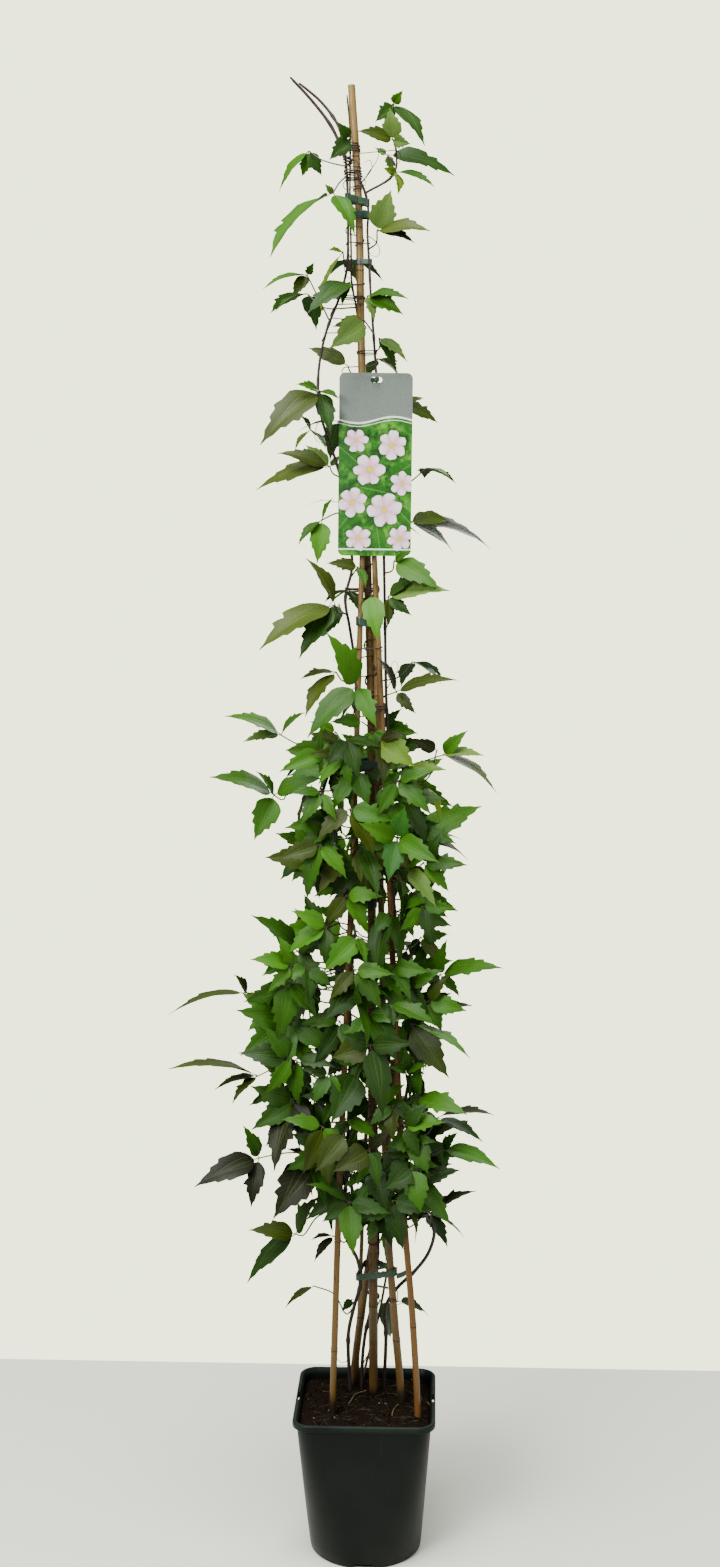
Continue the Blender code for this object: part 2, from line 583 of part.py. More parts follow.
def hull_ring(circles, gap):
    """The outline of a tape pulled round these circles, as a list of x and y."""
    samples = []
    for centre, radius in circles:
        for i in range(8):
            angle = (i + 0.5) / 8 * 2 * math.pi
            reach = (radius + gap) / math.cos(math.pi / 8)
            samples.append(Vector((centre.x + reach * math.cos(angle), centre.y + reach * math.sin(angle))))
    return [samples[i] for i in convex_hull_2d(samples)]


def thinned(outline, least):
    """The outline without the points that lie closer together than this."""
    kept = [outline[0]]
    for point in outline[1:]:
        if (point - kept[-1]).length > least and (point - outline[0]).length > least:
            kept.append(point)
    return kept


def band(name, outline, z, width, thick, slant, plant):
    """A closed band of tape that stands on an outline."""
    middle = sum(outline, Vector((0, 0))) / len(outline)
    count = len(outline)
    outward = []
    for i in range(count):
        run = (outline[(i + 1) % count] - outline[i - 1]).normalized()
        outward.append(Vector((run.y, -run.x)))
    if (outline[0] - middle).dot(outward[0]) < 0:
        outward = [-side for side in outward]
    shape = bmesh.new()
    rings = []
    for out, rise in ((0, -0.5), (thick, -0.5), (thick, 0.5), (0, 0.5)):
        ring = []
        for point, side in zip(outline, outward):
            place = point + side * out
            ring.append(shape.verts.new((place.x, place.y, z + rise * width + slant * (point.x - middle.x))))
        rings.append(ring)
    for k in range(4):
        low, high = rings[k], rings[(k + 1) % 4]
        for i in range(count):
            j = (i + 1) % count
            shape.faces.new((low[i], low[j], high[j], high[i]))
    bmesh.ops.recalc_face_normals(shape, faces=shape.faces)
    bmesh.ops.triangulate(shape, faces=shape.faces)
    mesh = bpy.data.meshes.new(name)
    shape.to_mesh(mesh)
    shape.free()
    new_object(name, mesh, plant, material("tape", 0.4))


def build_ties(plant, tubes):
    for name, (y, width, slant, held) in TIES.items():
        z = seen(VIEW["centre"][0], y, 0).z
        circles = []
        for key in held:
            for rise in (-0.5, 0, 0.5):
                found = tubes[key].at_height(z + rise * (width + TAPE_ROOM))
                if found:
                    circles.append(found)
        outline = thinned(hull_ring(circles, TAPE_GAP), TAPE_LEAST)
        band(name, outline, z, width, TAPE, slant, plant)


def build_label(plant, cutters, centre_cane):
    """The card, with a slot near its top edge, and the loop that hangs it from the centre cane."""
    top_left = seen(*LABEL_TOP_LEFT, LABEL_DEPTH * MM)
    top_right = seen(*LABEL_TOP_RIGHT, LABEL_DEPTH * MM)
    across = (top_right - top_left).normalized()
    down = Vector((0, 0, -1))
    down = (down - across * down.dot(across)).normalized()
    facing = across.cross(down)
    frame = Matrix((across, down, facing)).transposed().to_4x4()
    frame.translation = top_left
    width = (top_right - top_left).length
    outline = bpy.data.curves.new("label_card", "CURVE")
    outline.dimensions = "2D"
    outline.fill_mode = "BOTH"
    outline.extrude = LABEL_CARD / 2
    spline = outline.splines.new("POLY")
    corners = []
    for cx, cy, start in ((width, 0, -90), (width, LABEL_HEIGHT, 0), (0, LABEL_HEIGHT, 90), (0, 0, 180)):
        mx = cx + (LABEL_CORNER if cx == 0 else -LABEL_CORNER)
        my = cy + (LABEL_CORNER if cy == 0 else -LABEL_CORNER)
        for i in range(4):
            angle = math.radians(start + 30 * i)
            corners.append((mx + LABEL_CORNER * math.cos(angle), my + LABEL_CORNER * math.sin(angle)))
    spline.points.add(len(corners) - 1)
    for place, (x, y) in zip(spline.points, corners):
        place.co = (x, y, 0, 1)
    spline.use_cyclic_u = True
    holder = bpy.data.objects.new("label_outline", outline)
    plant.objects.link(holder)
    mesh = bpy.data.meshes.new_from_object(holder.evaluated_get(bpy.context.evaluated_depsgraph_get()))
    bpy.data.objects.remove(holder)
    mesh.transform(frame)
    shape = bmesh.new()
    shape.from_mesh(mesh)
    bmesh.ops.remove_doubles(shape, verts=shape.verts, dist=0.00001)
    bmesh.ops.recalc_face_normals(shape, faces=shape.faces)
    bmesh.ops.triangulate(shape, faces=shape.faces)
    shape.to_mesh(mesh)
    shape.free()
    card = new_object("label_card", mesh, plant, material("card", 0.35))
    slot = box_cutter((LABEL_SLOT[0], LABEL_SLOT[1], 0.02), (0, 0, 0), cutters)
    slot_middle = frame @ Vector((*LABEL_SLOT_AT, 0))
    placed = frame.copy()
    placed.translation = slot_middle
    slot.data.transform(placed)
    boolean(card, "DIFFERENCE", slot)
    cane, radius = centre_cane.at_height(slot_middle.z)
    front = Vector((slot_middle.x, slot_middle.y - LOOP_FRONT[0], 0))
    ring = thinned(hull_ring([(cane, radius), (front, LOOP_FRONT[1])], HOLE_GAP), TAPE_LEAST)
    band("label_loop", ring, slot_middle.z, *LOOP_TAPE, 0, plant)


def shown_blades(hub, depth, tips, swing, rng):
    """For each leaflet its tip, width and face, from what the view shows of it."""
    blades = []
    for x, y, width in tips:
        flat = seen(x, y, depth)
        shown = (flat - hub).length
        across = width * (flat - eye()).length / VIEW["focal"]
        length = min(max(shown * rng.uniform(*BLADE_TURNED), BLADE_MIN), shown * BLADE_STRETCH)
        sway = math.sqrt(length ** 2 - shown ** 2) * rng.uniform(*swing)
        tip = seen(x, y, depth - sway if depth <= 0.01 else depth + sway)
        axis = (tip - hub).normalized()
        sight = (eye() - (tip + hub) / 2).normalized()
        face = (sight - axis * sight.dot(axis)).normalized()
        side = face.cross(axis)
        full = max(across, BLADE_SHARE * (tip - hub).length)
        roll = math.acos(min(1.0, across / full))
        roll = math.copysign(roll, side.z if abs(side.z) > 0.05 else 1)
        blades.append((tip, full, (face * math.cos(roll) + side * math.sin(roll)).normalized()))
    return blades


def spread_angles(angles):
    """The angles of what meets at a hub, moved apart where they lie too close."""
    order = sorted(range(len(angles)), key=lambda i: angles[i])
    values = [angles[i] for i in order]
    count = len(values)
    least = min(HUB_APART, 2 * math.pi / count * 0.95)
    for _ in range(40):
        for i in range(count):
            j = (i + 1) % count
            gap = values[j] - values[i] + (2 * math.pi if j == 0 else 0)
            if gap < least:
                values[i] -= (least - gap) / 2
                values[j] += (least - gap) / 2
    return order, values


class Sheet:
    """The middle surface of a leaf: its points, which way each faces, and its triangles."""

    def __init__(self):
        self.points = []
        self.facing = []
        self.faces = []

    def add(self, point, facing):
        self.points.append(point)
        self.facing.append(facing)
        return len(self.points) - 1

    def polygon(self, corners):
        for b, c in zip(corners[1:], corners[2:]):
            self.faces.append((corners[0], b, c))

    def plate(self, thick):
        """A closed plate, with its triangles alike on both faces and a wall along its edge."""
        count = len(self.points)
        points = [p + n * thick / 2 for p, n in zip(self.points, self.facing)]
        points += [p - n * thick / 2 for p, n in zip(self.points, self.facing)]
        faces = list(self.faces) + [(c + count, b + count, a + count) for a, b, c in self.faces]
        edges = {(f[i], f[(i + 1) % 3]) for f in self.faces for i in range(3)}
        for a, b in sorted(edges):
            if (b, a) not in edges:
                faces += [(b, a, a + count), (b, a + count, b + count)]
        return points, faces


def outline_for(length):
    if length > LARGE_BLADE:
        return LARGE_OUTLINE
    return MIDDLE_OUTLINE if length > SMALL_BLADE else SMALL_OUTLINE


def add_blade(sheet, left, right, hub, blade):
    tip, width, face = blade
    axis = tip - hub
    length = axis.length
    face = (face - axis * face.dot(axis) / length ** 2).normalized()
    side = face.cross(axis).normalized()
    outline = outline_for(length)

    def place(u, s):
        rise = BLADE_ARCH * length * 4 * u * (1 - u) + BLADE_FOLD * abs(s) * width
        return hub + axis * u + side * s * width + face * rise

    rights = [sheet.add(place(u, -s), face) for u, s in outline]
    end = sheet.add(tip, face)
    lefts = [sheet.add(place(u, s), face) for u, s in reversed(outline)]
    ring = [left, right, *rights, end, *lefts]
    if outline is not LARGE_OUTLINE:
        sheet.polygon(ring)
        return
    rib = sheet.add(place(RIB_AT, 0), face)
    for a, b in zip(ring, ring[1:] + ring[:1]):
        sheet.faces.append((a, b, rib))


def leaf_sheets(hub, blades, line):
    """A leaf as one sheet: its leaflets round the hub, and the petiole back to its stem."""
    facing = sum((face for _, _, face in blades), Vector()).normalized()
    first = Vector((1, 0, 0)) - facing * facing.x
    first.normalize()
    second = facing.cross(first)
    back = (line[1] - line[0]).normalized()
    aims = [(tip - hub).normalized() for tip, _, _ in blades] + [back]
    order, values = spread_angles([math.atan2(a.dot(second), a.dot(first)) for a in aims])
    sheet = Sheet()
    ends = {}
    ring = []
    for which, angle in zip(order, values):
        pair = []
        for turn in (-HUB_SPREAD, HUB_SPREAD):
            aim = first * math.cos(angle + turn) + second * math.sin(angle + turn)
            pair.append(sheet.add(hub + aim * HUB_RADIUS, facing))
        ends[which] = pair
        ring += pair
    sheet.polygon(ring)
    parts = []
    for which, blade in enumerate(blades):
        right, left = ends[which]
        start = len(sheet.faces)
        add_blade(sheet, left, right, hub, blade)
        parts.append(sheet.faces[start:])
    blades_end = len(sheet.faces)
    right, left = ends[len(blades)]
    for i in range(1, len(line)):
        run = (line[i] - line[i - 1]).normalized()
        face = facing - run * facing.dot(run)
        face = face.normalized() if face.length > 0.1 else run.orthogonal().normalized()
        side = face.cross(run) * PETIOLE_HALF
        new_left = sheet.add(line[i] + side, face)
        new_right = sheet.add(line[i] - side, face)
        sheet.polygon([left, right, new_right, new_left])
        left, right = new_left, new_right
    parts.append(sheet.faces[blades_end:])
    return sheet, blades_end, parts


def petiole_line(hub, via, root, axis_point, sag):
    """Points from the hub back to the stem: by the places seen, or in one easy bend."""
    if via:
        return [hub, *reversed(via), root]
    middle = hub.lerp(root, 0.5)
    out = Vector((middle.x - axis_point.x, middle.y - axis_point.y, 0))
    reach = (hub - root).length
    share, most = PETIOLE_BEND
    bend = out.normalized() * min(share * reach, most) if out.length > 1e-5 else Vector()
    return [hub, middle + bend - Vector((0, 0, math.copysign(PETIOLE_SAG * reach, sag))), root]


class Growth:
    """What is already in place, so that each new leaf can hang clear of it."""

    def __init__(self):
        self.things = []

    def add(self, key, points, faces):
        low = Vector([min(p[i] for p in points) for i in range(3)])
        high = Vector([max(p[i] for p in points) for i in range(3)])
        self.things.append((key, low, high, BVHTree.FromPolygons(points, faces)))

    def add_object(self, made, key):
        mesh = made.data
        points = [vertex.co.copy() for vertex in mesh.vertices]
        self.add(key, points, [tuple(face.vertices) for face in mesh.polygons])

    def blocked(self, points, faces, but):
        low = Vector([min(p[i] for p in points) for i in range(3)])
        high = Vector([max(p[i] for p in points) for i in range(3)])
        tree = None
        for key, other_low, other_high, other in self.things:
            if key in but:
                continue
            if any(low[i] > other_high[i] or high[i] < other_low[i] for i in range(3)):
                continue
            tree = tree or BVHTree.FromPolygons(points, faces)
            if tree.overlap(other):
                return True
        return False


def leaf_crosses_itself(sheet, parts):
    """Whether two leaflets of one leaf, or a leaflet and the petiole, cut through each other."""
    trees = [BVHTree.FromPolygons(sheet.points, part) for part in parts]
    points = [set(i for face in part for i in face) for part in parts]
    for i in range(len(trees)):
        for j in range(i + 1, len(trees)):
            if trees[i].overlap(trees[j]) and not points[i] & points[j]:
                return True
    return False


def fits(sheet, blades_end, growth, stem, crowded):
    """Whether a leaf hangs clear. A crowded one may cut through leaves of its own stem."""
    thick = BLADE + BLADE_CLEAR
    own = {"leaf_" + stem} if crowded else set()
    points, faces = sheet.plate(thick)
    if growth.blocked(points, faces, own | {stem}):
        return False
    only = Sheet()
    only.points, only.facing, only.faces = sheet.points, sheet.facing, sheet.faces[:blades_end]
    points, faces = only.plate(thick)
    return not growth.blocked(points, faces, own)


def seen_leaf_tries(leaf, stems, seed):
    """Every way that a leaf may hang, in the order in which they are tried."""
    stem, place, depth, tips = leaf[:4]
    via = leaf[4] if len(leaf) > 4 else ()
    for name in [stem] + [other for other in stems if other != stem]:
        for draw, swing, rise, shift in ((d, s, r, z) for r in ROOT_RISES
                                         for d, s in enumerate(SWINGS) for z in SHIFTS):
            deep = (depth * DEPTH_SHARE + shift) * MM
            hub = seen(*place, deep)
            rng = random.Random(100 * seed + draw)
            blades = shown_blades(hub, deep, tips, swing, rng)
            first = seen(*via[0], deep) if via else hub + Vector((0, 0, rise))
            tube = min(stems[name], key=lambda t: (nearest_on(t.points, first)[0] - first).length)
            root = nearest_on(tube.points, first)[0]
            passed = []
            for i, (x, y) in enumerate(via):
                share = (i + 1) / (len(via) + 1)
                passed.append(seen(x, y, root.y + (deep - root.y) * share))
            axis_point = stems["back"][0].at_height(max(0.3, min(hub.z, 1.9)))[0]
            yield name, hub, blades, petiole_line(hub, passed, root, axis_point, -rise)


def back_leaf_tries(index, stems):
    """A leaf on the far side: the height and the side go round by a rule, with seeded sizes."""
    rng = random.Random(BACK_SEED + index)
    z = BACK_LOW + (BACK_HIGH - BACK_LOW) * (index + 0.5) / BACK_LEAVES + rng.uniform(-1, 1) * BACK_UNEVEN
    turn = 0.35 + (index * BACK_GOLDEN) % (math.pi - 0.7)
    reach = rng.uniform(*BACK_REACH)
    length = rng.uniform(*BACK_LENGTH)
    for extra in BACK_TURNS:
        for name in ("back", "right", "left"):
            root = stems[name][0].at_height(z)
            if root is None:
                continue
            root = root[0]
            aim = Vector((math.cos(turn + extra), math.sin(turn + extra), 0))
            hub = root + aim * reach + Vector((0, 0, 0.3 * reach))
            blades = []
            for spread, share in BACK_LEAFLETS:
                out = Matrix.Rotation(spread + rng.uniform(-0.15, 0.15), 3, "Z") @ aim
                drop = rng.uniform(*BACK_DROP)
                axis = (out + Vector((0, 0, -drop))).normalized()
                face = Vector((0, 0, 1)) - axis * axis.z
                reached = length * share
                blades.append((hub + axis * reached, BACK_WIDTH * reached, face.normalized()))
            yield name, hub, blades, petiole_line(hub, [], root, root, 1.0)


def grow_leaves(stems, growth):
    """Every leaf hung clear of the rest, listed under the stem that it grows from."""
    grown = {name: [] for name in stems}
    makers = [lambda leaf=leaf, order=order: seen_leaf_tries(leaf, stems, order)
              for order, leaf in enumerate(LEAVES)]
    makers += [lambda index=index: back_leaf_tries(index, stems) for index in range(BACK_LEAVES)]
    for order, maker in enumerate(makers):
        found = first_that_fits(maker, growth, False) or first_that_fits(maker, growth, True)
        if found:
            name, sheet = found
            points, faces = sheet.plate(BLADE)
            growth.add("leaf_" + name, points, faces)
            grown[name].append((points, faces))
        else:
            raise ValueError(f"leaf {order} finds no clear place")
    return grown


def first_that_fits(maker, growth, crowded):
    for name, hub, blades, line in maker():
        sheet, blades_end, parts = leaf_sheets(hub, blades, line)
        if not leaf_crosses_itself(sheet, parts) and fits(sheet, blades_end, growth, name, crowded):
            return name, sheet
    return None


def build_leafy_stems(plant, stems, grown):
    leaf = material("leaf", 0.5)
    for name, tubes in stems.items():
        pieces = bpy.data.collections.new("pieces")
        bpy.context.scene.collection.children.link(pieces)
        main = None
        for order, tube in enumerate(tubes):
            mesh = tube_mesh(tube.points, tube.radii(), 6 if order == 0 else 4)
            if order == 0:
                main = new_object("leafy_stem_" + name, mesh, plant, leaf)
            else:
                new_object("shoot", mesh, pieces)
        for points, faces in grown[name]:
            new_object("leaf", mesh_from(points, faces), pieces)
        boolean(main, "UNION", pieces, "MANIFOLD")
        for piece in list(pieces.objects):
            bpy.data.objects.remove(piece)
        bpy.data.collections.remove(pieces)


def main():
    for old in list(bpy.data.objects):
        bpy.data.objects.remove(old)
    plant = bpy.data.collections.new("clematis_on_canes")
    cutters = bpy.data.collections.new("cutters")
    for collection in (plant, cutters):
        bpy.context.scene.collection.children.link(collection)
    canes = build_canes()
    stems = build_stems(canes)
    mains = {name: tubes[0] for name, tubes in stems.items()}
    build_pot(plant, cutters)
    build_soil(plant, list(canes.values()) + list(mains.values()))
    for name, tube in canes.items():
        surface = material("dry" if name == "dry_stake" else "cane", 0.5)
        sides = 6 if tube.foot < 0.004 else 8
        new_object(name, tube_mesh(tube.points, tube.radii(), sides), plant, surface)
    build_ties(plant, {**canes, **mains})
    build_label(plant, cutters, canes["cane_centre"])
    growth = Growth()
    for made in list(plant.objects):
        growth.add_object(made, made.name)
    for name, tubes in stems.items():
        for tube in tubes:
            mesh = tube_mesh(tube.points, tube.radii(), 6)
            growth.add(name, [v.co.copy() for v in mesh.vertices], [tuple(f.vertices) for f in mesh.polygons])
    grown = grow_leaves(stems, growth)
    build_leafy_stems(plant, stems, grown)


if __name__ == "__main__":
    main()
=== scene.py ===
"""A clematis in its nursery pot, tied up a bundle of bamboo canes: the finished look of each piece.

Units are metres, +Z is up and the pot's front faces -Y. The origin is the middle of the pot's base.
Canes, stems and leaves lie where the frame has them, so their paths are worked out here from the
same places in the same view, as VIEW describes it.
"""

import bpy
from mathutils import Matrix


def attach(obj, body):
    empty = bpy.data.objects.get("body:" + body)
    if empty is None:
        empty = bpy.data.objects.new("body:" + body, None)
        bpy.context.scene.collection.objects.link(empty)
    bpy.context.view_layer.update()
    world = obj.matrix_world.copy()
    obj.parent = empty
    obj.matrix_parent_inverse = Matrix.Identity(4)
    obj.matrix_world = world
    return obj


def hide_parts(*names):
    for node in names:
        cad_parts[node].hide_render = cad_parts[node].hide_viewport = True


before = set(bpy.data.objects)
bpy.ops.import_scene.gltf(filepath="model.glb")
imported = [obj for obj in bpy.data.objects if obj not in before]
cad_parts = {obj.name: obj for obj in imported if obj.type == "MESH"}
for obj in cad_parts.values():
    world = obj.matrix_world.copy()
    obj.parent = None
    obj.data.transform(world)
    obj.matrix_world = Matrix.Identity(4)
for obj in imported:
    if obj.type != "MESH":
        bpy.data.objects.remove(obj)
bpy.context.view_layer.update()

import math
import random

import bmesh
import bpy
from mathutils import Matrix, Vector, noise
from mathutils.bvhtree import BVHTree
from mathutils.geometry import convex_hull_2d, intersect_point_line
from mathutils.kdtree import KDTree

MM = 0.001
FLOOR = (0.95, 0.622, 1.0)
GOLDEN = (math.sqrt(5) - 1) / 2

# The studio: its light and its backdrop as a screen colour and a strength, then its lamps as name,
# place, what they aim at, size and power in watts.
STUDIO_LIGHT = ((234, 237, 224), 0.42)
STUDIO_BACKDROP = ((238, 244, 205), 3.8)
LAMPS = (
    ("overhead", (-0.6, -1.2, 5.0), (0, 0, 0.9), 2.6, 390),
    ("key", (-1.7, -2.7, 2.5), (0, 0, 1.25), 1.3, 118),
    ("fill", (2.3, -1.9, 1.9), (0, 0, 1.2), 1.4, 28),
    ("behind", (0.8, 2.0, 2.4), (0, 0, 1.2), 1.2, 26),
)

# The view of the plant: its middle pixel, lens in pixels, distance, height, shift and tilt.
VIEW = dict(centre=(360.0, 783.5), focal=1880.0, distance=2.66, height=1.44, shift=-0.0085)
VIEW_PITCH = math.radians(6.5)
VIEW_TURN = Matrix.Rotation(math.radians(2.3), 3, "Z")
PICTURE_HEIGHT = 1567
SENSOR = 36.0

# The pot, as in the frame, with the fine turns of its lip.
POT_HEIGHT = 0.225
RIM_WIDTH = 0.206
BODY_WIDTH = 0.195
BASE_RADIUS = 0.082
WALL = 0.0018
LIP_HEIGHT = 0.009
RIM_CORNER = 0.021
POT_CORNER_POINTS = 12
HANDLE_SLOT = (0.0028, 0.026)
HANDLE_INSET = 0.0036
DRAIN_SLOT = (0.030, 0.007)
DRAIN_REACH = 0.0765
DRAIN_DEEP = 0.022
HANDLE_SHIFT = -0.002
LIP_CORNER = RIM_CORNER + 0.005
# The foot as a level of the wall, how far in and how high, the levels of the outer wall, the turns
# of the lip as how far out and how far up from its underside, the levels down the inside, and the
# inner floor's height with how far in it starts.
FOOT_TURNS = ((0.0, 0.010, 0.0016), (0.0, 0.006, 0.0), (0.0, 0.0018, 0.0), (0.0006, 0.0006, 0.0006))
OUTER_LEVELS = (0.002, 0.02, 0.04, 0.07, 0.10, 0.13, 0.16, 0.19, 0.213, 0.216)
LIP_TURNS = ((-0.0034, 0.0), (-0.0012, -0.0004), (-0.0003, 0.0002), (0.0, 0.0014), (0.0, 0.0056),
             (-0.0003, 0.0072), (-0.0011, 0.0085), (-0.0022, 0.0090), (-0.0040, 0.0090),
             (-0.0049, 0.0086), (-0.0054, 0.0078))
INNER_LEVELS = (0.220, 0.212, 0.17, 0.11, 0.05, 0.0045)
INNER_FLOOR = (0.0028, 0.002)

# The soil and what lies in it.
SOIL_TOP = 0.212
SOIL_GAP = 0.0006
SOIL_BUMP = 0.003
SOIL_LEVELS = (0.0036, 0.05, 0.11, 0.17, 0.201)
SOIL_EDGE_DROP = 0.0015
SOIL_RINGS = 34
SOIL_ROUND = 132
CRUMBS = 900
CRUMB_SEED = 5
CRUMB_SIZES = (0.0008, 0.0030)
CRUMB_SHARES = (0.5, 0.7, 1.0)
CRUMB_FLAT = ((0.7, 1.5), (0.6, 1.0), (0.35, 0.7))
# The colours of crumbs, bark and grit, and how often each comes.
CRUMB_COLOURS = (((18, 12, 7), 5), ((26, 18, 11), 6), ((38, 27, 16), 4), ((12, 9, 6), 4),
                 ((54, 42, 25), 1.6), ((110, 104, 84), 0.5))
FIBRES = 110
FIBRE_SEED = 9
FIBRE_LONG = (0.006, 0.024)
FIBRE_THICK = (0.00016, 0.00042)
FIBRE_TAPER = (1.0, 1.0, 0.9, 0.7, 0.35)
# Straws on the soil, by places on the view.
STRAWS = (((348.5, 1403), (356, 1395), (366, 1389.5)), ((427, 1402), (431, 1407), (432, 1413)),
          ((398, 1404), (393, 1411), (392, 1415)))

# Stems and petioles.
STEM_STEP = 0.042
STEM_CLEAR = 0.0011
STEM_FINE = 0.008
CANE_STEP = 0.16
FOOT_DRAW = 0.93
STEM_JOINT_FIRST = (0.02, 0.08)
STEM_JOINT_EVERY = (0.075, 0.125)
STEM_PLAIN_END = 0.02
STEM_SWELLING = (0.42, 0.0045)
STEM_TIP = 0.7
STEM_SEED = 60
PETIOLE_THICK = (0.0025, 0.0020)
STALK_THICK = (0.0018, 0.0014)
STALK_SHARE = 0.075
WOUND_STEPS = 26
WOUND_WANDER = 0.0009
WOUND_GAP = 0.0003
WINDER_SEED = 21
CURL_STEP = 0.0028
CURL_TAPER = 0.55

# Leaf blades: how the frame bends them, and the finer form that is added.
BLADE_SEED = 500
BLADE = 0.0008
BLADE_ARCH = 0.09
BLADE_FOLD = 0.22
BLADE_MIN = 0.045
BLADE_TURNED = (1.03, 1.26)
BLADE_STRETCH = 1.45
BLADE_SHARE = 0.38
FINE_BLADE = 0.0005
BLADE_BROAD = 1.08
COLUMNS = 6
TEETH = 3
TOOTH_ZONE = (0.36, 0.84)
TOOTH_FORWARD = 0.6
TOOTH_DEEP = (0.12, 0.36)
LOBE_DEEP = (0.34, 0.62)
LOBE_CHANCE = 0.35
NEAR_CORNER = 0.00015
BASE_POWER, TIP_POWER = 0.72, 1.56
BLADE_LEAST = 0.012
BLADE_TWIST = (-0.30, 0.30)
BLADE_WAVE = (0.008, 0.028)
BLADE_CURL = (-0.05, 0.08)
BLADE_KEEL = 0.0012
BLADE_DIP = 0.0009
LEAF_LIGHT = (0.72, 1.22)
LEAF_WARM = (-0.06, 0.06)
PETIOLE_STEP = 0.006
PETIOLE_BROWNS = 0.035
# How far a petiole bends out, as a share of its reach and at most, and the share that it sags.
PETIOLE_BEND = (0.16, 0.012)
PETIOLE_SAG = 0.10

# Bamboo canes: x and y of points seen up the cane, how far behind the pot's axis in mm, the
# thickness in mm at the foot and at the top, the height of its foot in the soil, how far up from
# the soil it is damp, and the tint of its lower part: a browner tone that also paints the shade
# of the leaves over it.
CANES = {
    "cane_centre": (
        ((373.5, 1410, 38), (373, 1215, 32), (372, 1000, 26), (371, 700, 14), (367, 560, 8),
         (361, 330, 4), (360, 240, 2), (356, 150, 1), (351.5, 85, 0)),
        14.5, 10.5, 0.03, 0.014, (62, 41, 15)),
    "cane_left": (
        ((332.5, 1425, -37), (338.5, 1215, -29), (353, 850, -17), (362.5, 545, -7)),
        10, 8, 0.05, 0.030, (86, 60, 20)),
    "cane_back": (
        ((351, 1405, 64), (366, 1280, 63), (379, 1215, 62), (388, 1130, 60), (394, 1060, 58)),
        12, 11, 0.05, 0.016, (70, 45, 20)),
    "cane_right": (
        ((402.5, 1418, 4), (393, 1300, 4), (387, 1215, 4), (381, 900, 4), (375, 570, 3)),
        12, 8.5, 0.05, 0.024, (78, 54, 22)),
    "cane_far_right": (
        ((418, 1432, -42), (411, 1290, -36), (404, 1215, -32), (388, 850, -19), (373, 530, -7)),
        10, 8, 0.06, 0.006, (90, 50, 11)),
    "cane_thin": (
        ((357, 1380, 74), (360, 1290, 76), (361.5, 1240, 77), (364, 1180, 78), (367, 1110, 78)),
        6.5, 6, 0.12, 0.010, (84, 62, 32)),
    "dry_stake": (
        ((361.5, 1384, 61), (372, 1345, 78), (380, 1310, 84), (386, 1280, 86), (392, 1240, 88)),
        4.2, 3.6, 0.17, 0.010, (64, 46, 26)),
}
# Along a bamboo joint: how far from it, and the thickness there as a share of the cane's.
CANE_JOINT = ((-0.0050, 1.0), (-0.0022, 1.05), (-0.0006, 1.07), (0.0003, 0.985), (0.0011, 1.00),
              (0.0020, 1.10), (0.0034, 1.06), (0.0062, 1.0))
CANE_JOINT_FIRST = (0.05, 0.16)
CANE_JOINT_EVERY = (0.15, 0.23)
CANE_JOINT_REACH = 0.008
CANE_PLAIN_END = 0.012
CANE_WAIST = (0.035, 0.09)
CANE_GRAIN = 0.00012
CANE_FINE = 0.02
CANE_SEED = 40
# The dark scar at a joint: how far above the joint it is, and how high.
CANE_SCAR = (0.0004, 0.0028)
# The wall of a cut end and how deep the hollow is, as shares of the radius.
CANE_CUT = (0.42, 1.6)

